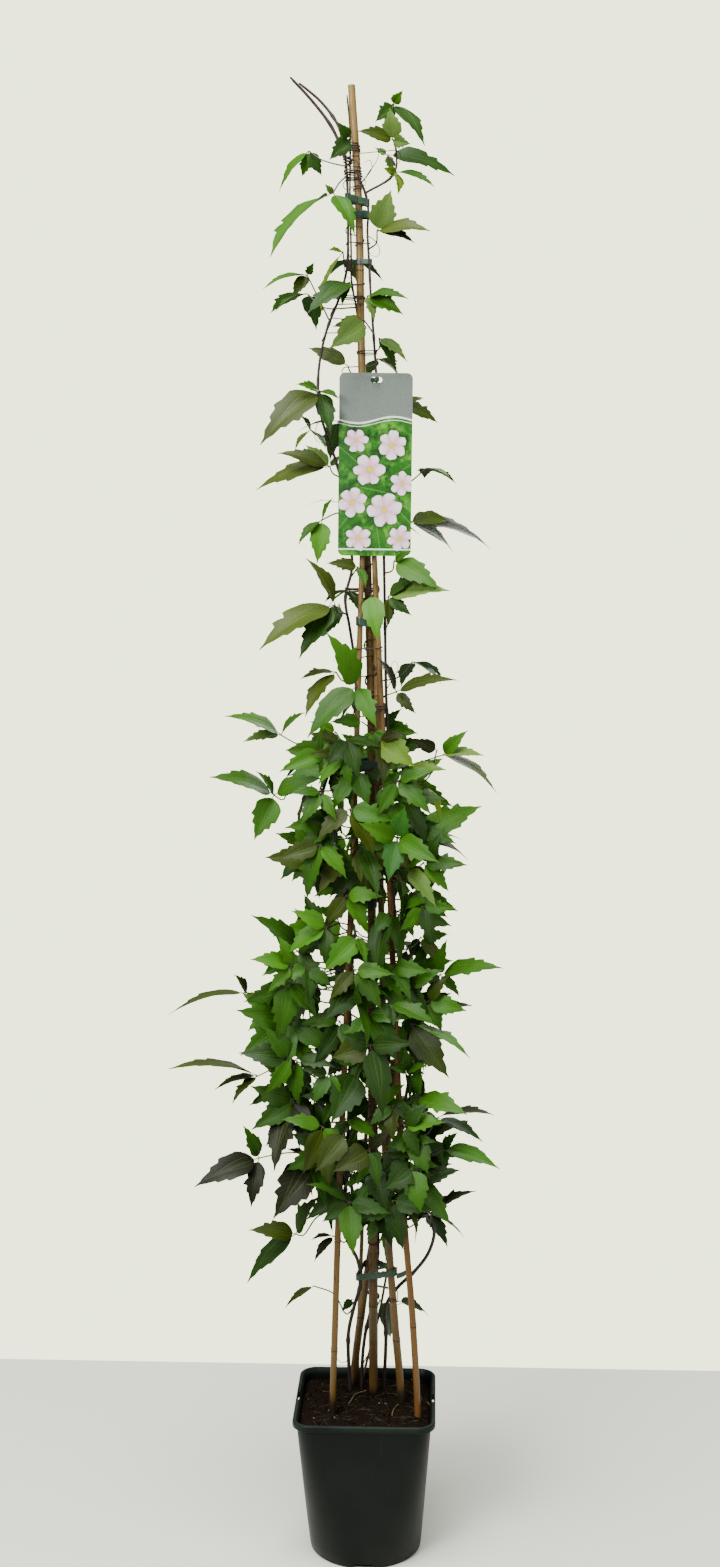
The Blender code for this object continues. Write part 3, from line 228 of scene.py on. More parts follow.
# Leafy stems, seen in the same way: the main stem first, then the shoots that grow from it.
STEMS = {
    "left": (
        (((350, 1384, 46), (348, 1345, 42), (350, 1322, 38), (356, 1300, 32), (361, 1280, 24),
          (361, 1268, 18), (353, 1251, 10), (346, 1237, 6), (345, 1200, 2), (348, 1130, -2),
          (350, 1040, -3), (349, 960, -2), (353, 915, -1), (357, 850, 0), (355, 770, 1), (356, 690, 3),
          (352, 640, 4), (345, 604, 0), (350, 580, 2), (352, 556, 4), (345, 500, 6), (336, 460, 2),
          (329, 442, -4), (322, 420, -8), (317.5, 400, -8), (319, 380, -6), (321, 350, -4),
          (326, 332, -4), (337, 304, -4), (344, 282, -6), (347.5, 262, -8), (348, 215, -8),
          (347, 180, -6), (346, 160, -5), (344, 142, -5)), 5.6, 3.4),
        (((345, 160, -5), (335, 133, -8), (318, 108, -14), (300, 88, -20), (290, 77, -24)), 4.8, 3.8),
        (((346, 154, -5), (338, 125, 2), (330, 112, 4), (316, 97, 2), (299, 83, -2)), 4.6, 3.6),
        (((350, 1060, -3), (336, 1030, -8), (322, 1012, -12), (310, 1016, -14), (302, 1033, -14),
          (302, 1066, -14), (303, 1100, -12)), 3.4, 2.6),
        (((336, 1030, -8), (324, 1050, 2), (323, 1080, 8), (328, 1106, 12)), 3.2, 2.6),
    ),
    "right": (
        (((384, 1386, 54), (386, 1340, 50), (386, 1303, 44), (398, 1287, 32), (413, 1273, 22),
          (425, 1258, 14), (433, 1243, 8), (434.5, 1230, 4), (430.5, 1217, 0), (421, 1206, -4),
          (410, 1190, -4), (403, 1150, -2), (402, 1120, -2), (407, 1090, -4), (411, 1060, -6),
          (407, 1020, -4), (401, 975, 0), (396, 930, 4), (392, 870, 8), (390, 800, 10), (388, 740, 10),
          (386, 690, 10), (385, 620, 10), (384, 560, 8), (383, 500, 6), (380, 430, 6), (376, 372, 6),
          (374, 340, 4), (371, 300, 0), (369, 260, -2), (367.5, 235, -3), (368, 215, -3),
          (367, 197, -5), (363, 182, -9), (357, 172, -11)), 5.6, 3.2),
        (((366, 193, -6), (376, 187, -5), (386, 180, -6), (394, 174, -6), (398, 160, -6),
          (395, 140, -6), (392, 104, -5)), 3.4, 2.2),
    ),
    "back": (
        (((362, 1384, 52), (363, 1345, 52), (366, 1330, 52), (373, 1300, 50), (377, 1270, 46),
          (378, 1215, 40), (376, 1120, 40), (374, 1000, 38), (373, 860, 34), (371, 700, 28),
          (366, 560, 24), (362, 420, 18), (357.5, 320, 12), (354, 300, 10), (351.5, 280, 10),
          (351, 240, 10), (350, 200, 9), (350, 175, 8), (350, 130, 6), (347, 95, 4)), 5.4, 2.6),
    ),
}
STEM_FOOT = 0.15

# Petioles that wind round what they climb: the height on the view, turns, rise of each turn in
# mm, thickness in mm, and what is held.
WINDERS = (
    (146, 1.8, 3.4, 1.8, ("left", "cane_centre", "back")),
    (150, 1.6, 3.2, 1.6, ("left", "cane_centre")),
    (236, 1.3, 22, 1.6, ("cane_centre", "left")),
    (320, 1.6, 38, 1.8, ("cane_centre", "left")),
    (586, 1.8, 38, 2.0, ("cane_centre", "cane_right")),
    (690, 3.0, 50, 2.4, ("cane_centre", "cane_right")),
    (694, 2.4, 58, 2.0, ("cane_centre", "cane_left")),
    (833, 2.8, 56, 2.2, ("cane_centre", "cane_right")),
    (1050, 4.0, 58, 2.4, ("cane_centre", "cane_right")),
    (161, 2.3, 3.6, 2.0, ("left", "back")),
    (173, 2.2, 3.4, 2.0, ("left", "cane_centre")),
    (188, 2.0, 3.0, 1.6, ("right", "cane_centre")),
    (157, 1.2, 2.4, 1.4, ("left", "back")),
    (168, 1.4, 2.6, 1.4, ("left", "cane_centre", "back")),
    (178, 1.7, 2.4, 1.7, ("cane_centre", "left", "back")),
    (244, 1.3, 4.0, 1.4, ("cane_centre", "right")),
    (284, 1.5, 3.0, 1.5, ("cane_centre", "left", "back")),
    (298, 2.3, 2.4, 1.6, ("cane_centre", "left", "back")),
    (352, 2.2, 2.6, 1.6, ("cane_centre", "right", "back")),
    (395, 1.6, 2.6, 1.5, ("left",)),
    (448, 1.4, 3.0, 1.5, ("left",)),
    (590, 2.4, 3.0, 1.7, ("cane_centre", "cane_right", "left", "back")),
    (648, 1.5, 5.0, 1.8, ("cane_centre", "cane_right", "cane_left", "cane_far_right")),
    (668, 2.4, 2.6, 1.5, ("right", "cane_right")),
    (706, 1.7, 4.5, 1.9, ("cane_centre", "cane_right", "cane_left", "cane_far_right")),
    (742, 1.8, 3.2, 1.7, ("right", "cane_right")),
    (838, 1.6, 4.0, 1.8, ("cane_centre", "cane_right", "back")),
    (938, 2.2, 3.0, 1.6, ("cane_right", "right")),
    (1030, 1.7, 3.4, 1.6, ("left", "cane_left")),
    (1148, 2.1, 3.0, 1.6, ("cane_far_right", "right")),
    (1190, 1.6, 3.0, 1.6, ("left", "cane_left")),
    (1251, 1.6, 3.0, 1.6, ("cane_centre", "back")),
    (1300, 1.4, 3.0, 1.5, ("right", "cane_right")),
)
# Petioles and tips that end in a free curl, with the depth of each point in mm.
CURLS = (
    (((368, 236, -5), (374, 240, -12), (379, 247, -16), (379, 255, -14), (373, 256, -9),
      (369, 252, -6)), 1.5),
    (((352, 255, -10), (347, 260, -15), (344.5, 267, -16), (346, 275, -12), (350, 279, -10)), 1.4),
    (((392, 150, -8), (399, 152, -12), (400, 161, -14), (394, 166, -10), (389, 161, -8)), 1.3),
    (((356, 172, -12), (362, 176, -18), (366, 183, -17), (362, 186, -13), (358, 181, -14)), 1.4),
    (((320, 420, -9), (316, 428, -13), (315, 438, -15), (321, 443, -15), (325, 438, -12)), 1.3),
    (((345, 500, 5), (336, 502, 0), (325, 500, -4), (315, 502, -6), (309, 505, -6)), 1.2),
    (((386, 690, 9), (392, 680, 2), (398, 668, -4), (395, 661, -6), (390, 666, -4)), 1.5),
    (((357, 850, -1), (350, 858, -14), (343, 868, -20), (338, 862, -20), (342, 856, -18)), 1.4),
    (((386, 1303, 44), (394, 1306, 40), (402, 1303, 36), (408, 1305, 34)), 1.6),
    (((349, 1358, 44), (346, 1361.5, 40), (342, 1362.5, 36), (337, 1359, 32)), 1.5),
    (((362, 1366, 52), (364.5, 1361, 46), (367, 1356, 42)), 2.6),
    (((347, 166, -6), (352, 160, -14), (358, 163, -18), (357, 170, -16), (351, 170, -12)), 1.9),
    (((350, 150, 7), (345, 147, -2), (344, 154, -12), (350, 157, -16), (355, 153, -14)), 1.8),
    (((362, 182, -9), (367, 176, -15), (372, 168, -16), (370, 160, -14), (365, 163, -12)), 1.7),
    (((363, 182, -9), (369, 172, -8), (376, 162, -8), (379, 152, -8), (374, 147, -8)), 1.6),
    (((348, 178, -7), (343, 184, -12), (346, 190, -16), (352, 187, -17), (353, 181, -14)), 1.6),
    (((345, 366, -6), (342, 372, -12), (347, 380, -14), (343, 390, -12), (338, 398, -10)), 1.5),
    (((321, 404, -8), (325, 414, -14), (322, 424, -14), (327, 432, -14), (324, 440, -12)), 1.5),
    (((366, 1330, 52), (370, 1322, 46), (372, 1312, 42)), 1.8),
    (((402, 1120, -3), (410, 1128, -10), (416, 1140, -14), (412, 1146, -14), (408, 1140, -12)), 1.5),
    (((348, 1130, -3), (340, 1138, -10), (333, 1150, -14), (336, 1158, -14), (341, 1153, -12)), 1.5),
)

# Ties of soft tape: the height on the view, the tape's width, its slant, and what it goes round.
TIES = {
    "tie_top": (200.5, 0.0100, -0.25, ("cane_centre", "left", "right", "back")),
    "tie_second": (215, 0.0105, 0.0, ("cane_centre", "left", "right", "back")),
    "tie_small": (262, 0.007, 0.0, ("cane_centre", "right")),
    "tie_upper": (622, 0.013, -0.1, ("cane_centre", "cane_left", "cane_right", "cane_far_right")),
    "tie_middle": (764, 0.016, 0.12, ("cane_centre", "cane_left", "cane_right", "cane_far_right")),
    "tie_waist": (906, 0.012, 0.0, ("cane_centre", "left", "back")),
    "tie_low": (1213, 0.012, 0.0, ("cane_centre", "cane_right", "back", "cane_back")),
    "tie_wide": (1277, 0.010, 0.25, ("cane_centre", "cane_right", "cane_back", "left")),
}
# Loose ends of the wide tie, with the depth of each point and the tape's width in mm.
TAPE_ENDS = (
    (((396.5, 1276, -3), (401, 1275, 0), (405, 1273, 4), (409, 1271, 8)), 8.0),
    (((376, 1269, 24), (381, 1268, 16), (386.5, 1267, 7)), 4.0),
    (((378, 1286, 24), (383, 1287, 18), (388, 1288, 10)), 3.2),
)
TAPE = 0.0009
TAPE_GAP = 0.0005
TAPE_ROOM = 0.004
TAPE_STEP = 0.0016
TAPE_END_STEP = 0.004
TAPE_LAP = 0.014
TAPE_ROWS = 4
TAPE_WANDER = 0.0004
TAPE_WAVE = 0.0002
TAPE_SAMPLES = 14

# The hanging label: its corners on the view, its depth behind the axis in mm, and its card.
LABEL_TOP_LEFT = (339.5, 372.4)
LABEL_TOP_RIGHT = (413, 373.2)
LABEL_HEIGHT = 0.250
LABEL_DEPTH = -26
LABEL_CARD = 0.0008
LABEL_EDGE = 0.0001
LABEL_CORNER = 0.008
LABEL_SLOT = (0.016, 0.008)
LABEL_SLOT_AT = (0.051, 0.0095)
LABEL_SLOT_CORNER = 0.0035
LOOP_TAPE = (0.0055, 0.0009)
LOOP_FRONT = (0.004, 0.0018)
LOOP_LAP = 0.006
LOOP_GAP = 0.0003
LOOP_SAMPLES = 16
# The print, in mm from the card's top left corner: leaves as their middle, slant and length, and
# rosettes as their middle, size and turn. The head ends in a wave this far down, this high.
PRINT_LEAVES = ((14, 112, 0.7, 24), (88, 132, -0.6, 26), (52, 160, 0.2, 24), (14, 196, -0.9, 24),
                (92, 196, 0.8, 26), (56, 226, 1.4, 22))
PRINT_ROSETTES = ((24, 92, 16, 0.1), (74, 98, 20, 0.4), (42, 132, 22, 0.0), (88, 150, 17, 0.5),
                  (20, 176, 20, 0.3), (64, 186, 24, 0.15), (28, 226, 18, 0.6), (86, 226, 17, 0.25))
PRINT_HEAD = (64.0, 4.5)
PRINT_FOOT = 9.0

# Leaf tints, which the lamps lighten: bright, green, deep, olive, bronze, yellow green, cool, and
# two that show a leaf's underside, pale and dull.
TINTS = {"b": (56, 106, 8), "g": (44, 86, 8), "d": (30, 62, 7), "o": (52, 66, 10), "z": (25, 26, 1),
         "y": (90, 120, 18), "c": (40, 94, 26), "p": (84, 112, 50), "s": (40, 46, 12)}
SHOWS_UNDERSIDE = "ps"

# Leaves as seen: the stem, the hub, its depth in mm, for each leaflet the tip's place and the
# width that it shows, and a tint for each leaflet. A petiole that is seen adds its places.
LEAVES = (
    ("right", (393, 104), -5, ((403, 90, 10), (375, 122, 14), (425, 146, 12)), "bdd"),
    ("right", (393, 140), -18, ((390, 108, 18), (357, 131, 12), (411, 144, 12)), "pop"),
    ("right", (387, 155), 12, ((455, 176, 13), (393, 170, 8), (376, 148, 6)), "dpg"),
    ("right", (396, 172), -8, ((435, 187, 6), (383, 168, 8), (398, 195, 8)), "gyy"),
    ("left", (350, 138), -18, ((329, 160, 16), (337, 121, 10)), "dg"),
    ("left", (309, 151), -12, ((279, 192, 6), (302, 177, 11), (322, 176, 12)), "bbd",
     ((345, 166), (322, 160))),
    ("left", (333, 193), -22, ((270, 257, 9), (355, 235, 16), (325, 184, 6)), "gbp",
     ((348, 176), (340, 182))),
    ("right", (377, 231), -32, ((391, 190, 25), (431, 231, 12), (415, 243, 8)), "poz"),
    ("left", (343, 252), -14, ((328, 250, 4), (321, 315, 5)), "yy"),
    ("left", (307, 275), 4, ((263, 289, 4), (292, 300, 12), (314, 262, 8)), "gog",
     ((330, 322), (317, 295))),
    ("left", (350, 282), -26, ((307, 314, 18), (342, 306, 9)), "dg"),
    ("right", (367, 296), -28, ((409, 299, 8), (404, 315, 14), (374, 322, 10)), "gbp"),
    ("right", (364, 320), -30, ((329, 349, 25), (332, 327, 12)), "po"),
    ("right", (379, 338), -16, ((407, 362, 10), (396, 372, 10)), "pd"),
    ("back", (348, 366), 8, ((308, 348, 14),), "o"),
    ("left", (320, 391), -24, ((260, 445, 26), (331, 436, 18), (296, 384, 8), (339, 399, 6)), "odgg"),
    ("left", (311, 430), -14, ((300, 415, 5), (295, 450, 4), (326, 449, 4)), "gyg"),
    ("left", (330, 467), -16, ((256, 490, 14), (277, 453, 14), (306, 445, 14), (341, 455, 6)), "oopg"),
    ("left", (322, 520), -12, ((317, 564, 20), (298, 545, 7), (333, 498, 4)), "bgg",
     ((345, 512), (334, 514))),
    ("right", (405, 404), 8, ((438, 423, 12), (425, 398, 6)), "oo"),
    ("right", (409, 522), 4, ((450, 521, 14), (491, 549, 12), (453, 552, 9)), "ozb"),
    ("right", (394, 561), -16, ((441, 590, 22), (412, 551, 8)), "bg"),
    ("left", (358, 567), -18, ((326, 563, 12), (366, 588, 9)), "og"),
    ("left", (335, 605), -26, ((259, 650, 22), (299, 659, 22), (306, 558, 12)), "odo"),
    ("left", (339, 604), -16, ((325, 636, 16),), "d"),
    ("right", (371, 594), -36, ((378, 642, 22),), "b"),
    ("right", (388, 597), -20, ((412, 616, 12), (450, 591, 16), (420, 575, 10), (387, 628, 10)), "dpdo"),
    ("left", (357, 686), -50, ((326, 632, 25), (307, 738, 24), (377, 728, 20)), "bgb"),
    ("left", (336, 672), -20, ((305, 717, 14), (300, 679, 6)), "oo"),
    ("back", (362, 722), -36, ((330, 722, 14),), "g"),
    ("right", (396, 692), -22, ((376, 656, 8), (458, 680, 12), (416, 714, 12)), "zoo", ((379, 698),)),
    ("left", (281, 735), 0, ((224, 716, 12), (243, 742, 10), (305, 712, 6)), "gpg",
     ((316, 751), (295, 743))),
    ("left", (274, 795), -12, ((209, 777, 16), (254, 840, 26), (323, 778, 16), (256, 771, 8)), "gbgg",
     ((293, 793), (283, 800))),
    ("left", (322, 752), -38, ((285, 750, 22), (279, 772, 18), (345, 766, 16), (322, 724, 6)), "gbgg"),
    ("left", (336, 818), -18, ((284, 828, 24), (308, 789, 14)), "gd"),
    ("left", (342, 849), -34, ((298, 877, 26), (318, 895, 22), (306, 846, 8)), "oog"),
    ("back", (359, 846), -30, ((361, 884, 16), (378, 898, 20)), "od"),
    ("right", (397, 838), -52, ((358, 823, 20), (388, 882, 22), (440, 863, 22), (405, 806, 20)), "bcgc"),
    ("right", (380, 738), -40, ((415, 767, 28), (405, 736, 10), (383, 784, 16)), "yzs"),
    ("right", (404, 772), -24, ((421, 807, 12), (447, 770, 12)), "py"),
    ("right", (426, 786), -12, ((440, 822, 7),), "y"),
    ("right", (443, 755), -8, ((468, 730, 14), (484, 756, 9), (497, 793, 9)), "bpo",
     ((404, 768), (424, 761))),
    ("right", (437, 750), -24, ((410, 738, 13),), "z", ((402, 790), (428, 778))),
    ("right", (418, 838), -16, ((482, 806, 26), (463, 840, 6), (468, 860, 8)), "bgo"),
    ("right", (407, 870), -36, ((432, 889, 16), (436, 907, 16), (424, 860, 6)), "ypg"),
    ("right", (402, 908), -30, ((452, 926, 22), (414, 938, 14), (430, 902, 8)), "ggb"),
    ("right", (388, 912), -46, ((377, 985, 22), (399, 968, 14), (374, 935, 16)), "dgd"),
    ("right", (440, 975), -5, ((447, 939, 12), (503, 968, 16), (460, 997, 10)), "bbg",
     ((405, 975), (428, 979))),
    ("right", (414, 1004), -8, ((452, 993, 18), (424, 986, 8)), "zz"),
    ("right", (424, 1015), 4, ((473, 1006, 7),), "s"),
    ("right", (392, 966), -34, ((430, 972, 18), (411, 1002, 14)), "gg"),
    ("right", (390, 1003), -44, ((436, 1026, 16), (394, 1028, 10)), "gd"),
    ("left", (297, 951), -22, ((251, 915, 20), (262, 976, 22), (325, 987, 18), (326, 941, 12)), "gggd"),
    ("left", (328, 928), -26, ((295, 935, 10), (343, 898, 6)), "gg", ((352, 926), (340, 923))),
    ("left", (357, 936), -40, ((323, 972, 24), (366, 965, 10)), "bg"),
    ("left", (247, 993), 6, ((168, 1015, 7), (234, 974, 8), (262, 1008, 10)), "ooo",
     ((305, 1004), (272, 994))),
    ("left", (289, 1020), -28, ((236, 1010, 26), (240, 1056, 24), (280, 1085, 24), (336, 1052, 22)),
     "gbgg"),
    ("left", (356, 985), -44, ((325, 1020, 26), (368, 1017, 16), (388, 996, 10), (322, 978, 8)), "dggg"),
    ("left", (258, 1076), 4, ((168, 1069, 6), (232, 1104, 8), (214, 1090, 6)), "ooo",
     ((300, 1076), (276, 1069))),
    ("left", (293, 1101), -28, ((250, 1086, 22), (251, 1130, 22), (274, 1172, 24), (311, 1143, 22)),
     "ggzz"),
    ("left", (259, 1158), -4, ((243, 1125, 14), (194, 1187, 24), (251, 1208, 18)), "gzz",
     ((312, 1153), (285, 1153))),
    ("left", (311, 1160), -30, ((273, 1219, 34), (287, 1149, 6), (325, 1205, 14)), "zzg"),
    ("left", (296, 1234), -16, ((248, 1230, 18), (247, 1283, 16), (319, 1196, 14)), "odg",
     ((331, 1210), (316, 1218), (304, 1235))),
    ("left", (349, 1202), -52, ((353, 1256, 22), (391, 1214, 16), (322, 1222, 16), (306, 1184, 8)),
     "bgdg"),
    ("left", (334, 1236), -6, ((311, 1240, 4), (314, 1262, 8)), "zz", ((345, 1243),)),
    ("left", (314, 1286), 6, ((285, 1308, 6),), "o", ((346, 1314), (334, 1294))),
    ("left", (352, 1299), 16, ((341, 1312, 8),), "d"),
    ("back", (380, 1300), 28, ((390, 1338, 16), (364, 1290, 6)), "gd"),
    ("right", (398, 1301), 10, ((429, 1316, 7),), "d"),
    ("left", (370, 1045), -58, ((331, 1058, 26), (383, 1118, 26), (342, 1034, 20), (415, 1043, 20)),
     "oddd"),
    ("right", (411, 1024), -26, ((449, 1078, 28), (470, 1058, 8)), "ob"),
    ("right", (407, 1072), -40, ((404, 1046, 12), (388, 1067, 8), (428, 1066, 8)), "ggg"),
    ("right", (417, 1097), -20, ((422, 1062, 12), (468, 1115, 20), (422, 1124, 12)), "gbb", ((402, 1103),)),
    ("right", (437, 1118), 2, ((494, 1115, 7), (483, 1142, 10), (412, 1116, 8)), "sgs",
     ((415, 1140), (427, 1134))),
    ("right", (443, 1149), -5, ((458, 1132, 10), (500, 1169, 16), (446, 1172, 10)), "gbg", ((428, 1156),)),
    ("left", (369, 1150), -62, ((391, 1130, 12), (333, 1172, 26), (379, 1190, 14)), "zog"),
    ("right", (414, 1138), -42, ((386, 1147, 20), (428, 1174, 22), (437, 1142, 10)), "gbg"),
    ("right", (412, 1168), -58, ((421, 1213, 24), (384, 1190, 26)), "bd"),
    ("right", (406, 1182), -36, ((402, 1226, 14),), "s"),
    ("right", (371, 1166), -36, ((388, 1212, 22),), "d"),
    ("left", (345, 1133), -34, ((315, 1172, 24), (333, 1121, 8)), "od"),
    ("left", (357, 1072), -30, ((331, 1123, 34),), "d"),
    ("right", (431, 1214), -6, ((477, 1191, 10), (403, 1222, 8)), "ss", ((430, 1228),)),
)
# The ways in which a leaf may hang: where its petiole starts, how its leaflets swing in depth,
# and a shift of the whole leaf in depth, in mm.
ROOT_RISES = (-0.018, 0.030)
AXIS_LOW, AXIS_HIGH = 0.3, 1.9
DEPTH_SHARE = 1.35
SHIFTS = (0, -7, 7, -14, 14, -22, 22, -32, 32, -44)
SWINGS = ((0.6, 1.0), (0.1, 1.0), (0.0, 0.7), (-0.5, 0.9), (-0.8, 0.2), (-0.9, 1.1), (-1.0, 1.0))

# Leaves on the far side, which the view does not show, placed by a rule.
BACK_LEAVES = 18
BACK_LOW, BACK_HIGH = 0.42, 1.92
BACK_REACH = (0.030, 0.110)
BACK_LENGTH = (0.050, 0.078)
BACK_DROP = (0.2, 1.2)
BACK_SEED = 11
BACK_TURNS = (0, 0.35, -0.35, 0.7, -0.7, 1.05, -1.05)
BACK_GOLDEN = 1.51
BACK_UNEVEN = 0.022
BACK_TINTS = "ggbddo"
BACK_SPREAD = ((0, 1.0), (1.15, 0.82), (-1.15, 0.82))
BACK_WIDE = 0.45
BACK_SIDE = 0.35
BACK_RISE = 0.3
BACK_SWAY = 0.15

# Inner leaves, which fill the plant between the ones above: the left and right edge of its mass
# at each height on the view, and how the leaves there are drawn.
MASS = ((560, 338, 392), (600, 335, 400), (650, 330, 395), (700, 330, 388), (740, 318, 402),
        (790, 300, 428), (830, 298, 430), (870, 308, 432), (900, 338, 430), (940, 292, 438),
        (980, 272, 436), (1020, 258, 438), (1060, 268, 440), (1100, 286, 436), (1140, 296, 434),
        (1180, 306, 430), (1215, 330, 416))
INNER_LEAVES = 168
INNER_FIRST = 722
INNER_SEED = 71
INNER_TRIES = 14
INNER_DEPTHS = ((-68, -40), (-68, -40), (-46, -14), (34, 62))
INNER_LENGTH = (0.048, 0.084)
INNER_WIDE = (0.36, 0.50)
INNER_SPREAD = ((0.0, 1.0), (1.05, 0.84), (-1.05, 0.84))
INNER_TURNED = 0.55
INNER_EDGE = 8
INNER_SWAY = 0.2
INNER_HELD = 0.6
INNER_LEAN = 0.8
INNER_UPWARD = (-0.2, 0.9)
# How far the middle leaflet may point aside, and how much more towards the edge of the mass.
INNER_AIM = 1.2
INNER_FAN = 0.014
FLANK_AIM = 1.3
FLANK_SHARE = 0.34
FLANK_DEPTHS = (-58, 58)
# Mostly deep and green tints: darker leaves that paint the shade inside the plant's mass.
INNER_SHADE_TINTS = "ddgggbbo"


def seen(x, y, depth):
    """The point at this pixel of the view, this far behind the plane through the pot's axis."""
    across = (x - VIEW["centre"][0]) / VIEW["focal"]
    up = (VIEW["centre"][1] - y) / VIEW["focal"]
    cosine, sine = math.cos(VIEW_PITCH), math.sin(VIEW_PITCH)
    reach = (VIEW["distance"] + depth) / (cosine + up * sine)
    height = VIEW["height"] + reach * (up * cosine - sine)
    return VIEW_TURN @ Vector((VIEW["shift"] + across * reach, depth, height))


def seen_at_height(x, y, height):
    """The point at this pixel of the view and this height."""
    up = (VIEW["centre"][1] - y) / VIEW["focal"]
    cosine, sine = math.cos(VIEW_PITCH), math.sin(VIEW_PITCH)
    reach = (height - VIEW["height"]) / (up * cosine - sine)
    return seen(x, y, reach * (cosine + up * sine) - VIEW["distance"])


def eye():
    return VIEW_TURN @ Vector((VIEW["shift"], -VIEW["distance"], VIEW["height"]))


def linear(red, green, blue):
    """A screen colour, 0 to 255, as the light that it stands for."""
    return tuple((c / 255 / 12.92) if c < 11 else ((c / 255 + 0.055) / 1.055) ** 2.4
                 for c in (red, green, blue))


# Finishes.


class Value:
    """A number that changes over a surface, with which Python sums can be written."""

    def __init__(self, finish, socket):
        self.finish = finish
        self.socket = socket

    def maths(self, operation, *others):
        sockets = dict(enumerate((self, *others)))
        return self.finish.node("ShaderNodeMath", {"operation": operation}, sockets)

    def __add__(self, other):
        return self.maths("ADD", other)

    __radd__ = __add__

    def __sub__(self, other):
        return self.maths("SUBTRACT", other)

    def __rsub__(self, other):
        return self.maths("MULTIPLY", -1.0).maths("ADD", other)

    def __mul__(self, other):
        return self.maths("MULTIPLY", other)

    __rmul__ = __mul__

    def __truediv__(self, other):
        return self.maths("DIVIDE", other)

    def __pow__(self, other):
        return self.maths("POWER", other)

    def __abs__(self):
        return self.maths("ABSOLUTE")

    def most(self, other):
        return self.maths("MAXIMUM", other)

    def fade(self, low, high):
        """0 up to low and 1 from high, with a soft step between; low may be the larger one."""
        settings = {"interpolation_type": "SMOOTHSTEP"}
        return self.finish.node("ShaderNodeMapRange", settings, {0: self, 1: low, 2: high, 3: 0.0, 4: 1.0})


class Finish:
    """A material and the ways to build it up; its sheen is how strongly it mirrors."""

    def __init__(self, name, roughness=0.6, sheen=0.5):
        self.material = bpy.data.materials.new(name)
        self.material.use_nodes = True
        self.tree = self.material.node_tree
        self.shader = self.tree.nodes["Principled BSDF"]
        self.shader.inputs["Roughness"].default_value = roughness
        self.shader.inputs["Specular IOR Level"].default_value = sheen

    def node(self, kind, settings=None, sockets=None, out=0):
        """Any node: its settings are made first, then the values or links of its sockets."""
        made = self.tree.nodes.new(kind)
        for name, value in (settings or {}).items():
            if name == "stops":
                for place, colour in value[1:-1]:
                    made.color_ramp.elements.new(place)
                for element, (place, colour) in zip(made.color_ramp.elements, value):
                    element.position = place
                    element.color = (*colour, 1)
            else:
                setattr(made, name, value)
        for key, value in (sockets or {}).items():
            self.feed(made.inputs[key], value)
        return Value(self, made.outputs[out])

    def feed(self, socket, value):
        if isinstance(value, Value):
            self.tree.links.new(value.socket, socket)
        elif socket.type == "RGBA":
            socket.default_value = (*value, 1)
        else:
            socket.default_value = value

    def set(self, socket, value):
        self.feed(self.shader.inputs[socket], value)

    def place(self, scale=(1, 1, 1)):
        """Where a point lies on the piece, stretched by this much along each axis."""
        return self.vectors("MULTIPLY", self.node("ShaderNodeTexCoord", out=3), scale)

    def vectors(self, operation, first, second, out=0):
        return self.node("ShaderNodeVectorMath", {"operation": operation}, {0: first, 1: second}, out)

    def noise(self, where, scale, detail=3.0, roughness=0.55):
        sockets = {"Vector": where, "Scale": scale, "Detail": detail, "Roughness": roughness}
        return self.node("ShaderNodeTexNoise", sockets=sockets)

    def cells(self, where, scale):
        return self.node("ShaderNodeTexVoronoi", sockets={"Vector": where, "Scale": scale})

    def mix(self, first, second, share, blend="MIX"):
        settings = {"data_type": "RGBA", "blend_type": blend}
        return self.node("ShaderNodeMix", settings, {0: share, 6: first, 7: second}, out=2)

    def ramp(self, value, *stops):
        return self.node("ShaderNodeValToRGB", {"stops": stops}, {0: value})

    def attribute(self, name, out=0):
        return self.node("ShaderNodeAttribute", {"attribute_name": name}, out=out)

    def apart(self, vector):
        """The three numbers of a place or direction."""
        split = self.node("ShaderNodeSeparateXYZ", sockets={0: vector})
        return [Value(self, out) for out in split.socket.node.outputs]

    def height(self):
        return self.apart(self.place())[2]

    def dot(self, vector, direction):
        return self.vectors("DOT_PRODUCT", vector, direction, out=1)

    def relief(self, height, distance, strength=1.0):
        sockets = {"Height": height, "Distance": distance, "Strength": strength}
        self.set("Normal", self.node("ShaderNodeBump", sockets=sockets))


def blade_veins(finish):
    """How near a point of a blade is to its midrib, side ribs and fine veins, and to its edge: 0 to 1."""
    across, along, _ = finish.apart(finish.node("ShaderNodeUVMap", {"uv_map": "UVMap"}))
    off = abs(across - 0.5) * 2.0
    midrib = off.fade(0.07, 0.0)
    ribs = abs(off - 0.46 * (1 - along)).fade(0.05, 0.0) * along.fade(0.85, 0.55)
    branches = (along * 11.0 - off * 3.2).maths("FRACT")
    fine = abs(branches - 0.5).fade(0.10, 0.0) * 0.55
    return midrib.most(ribs).most(fine), off


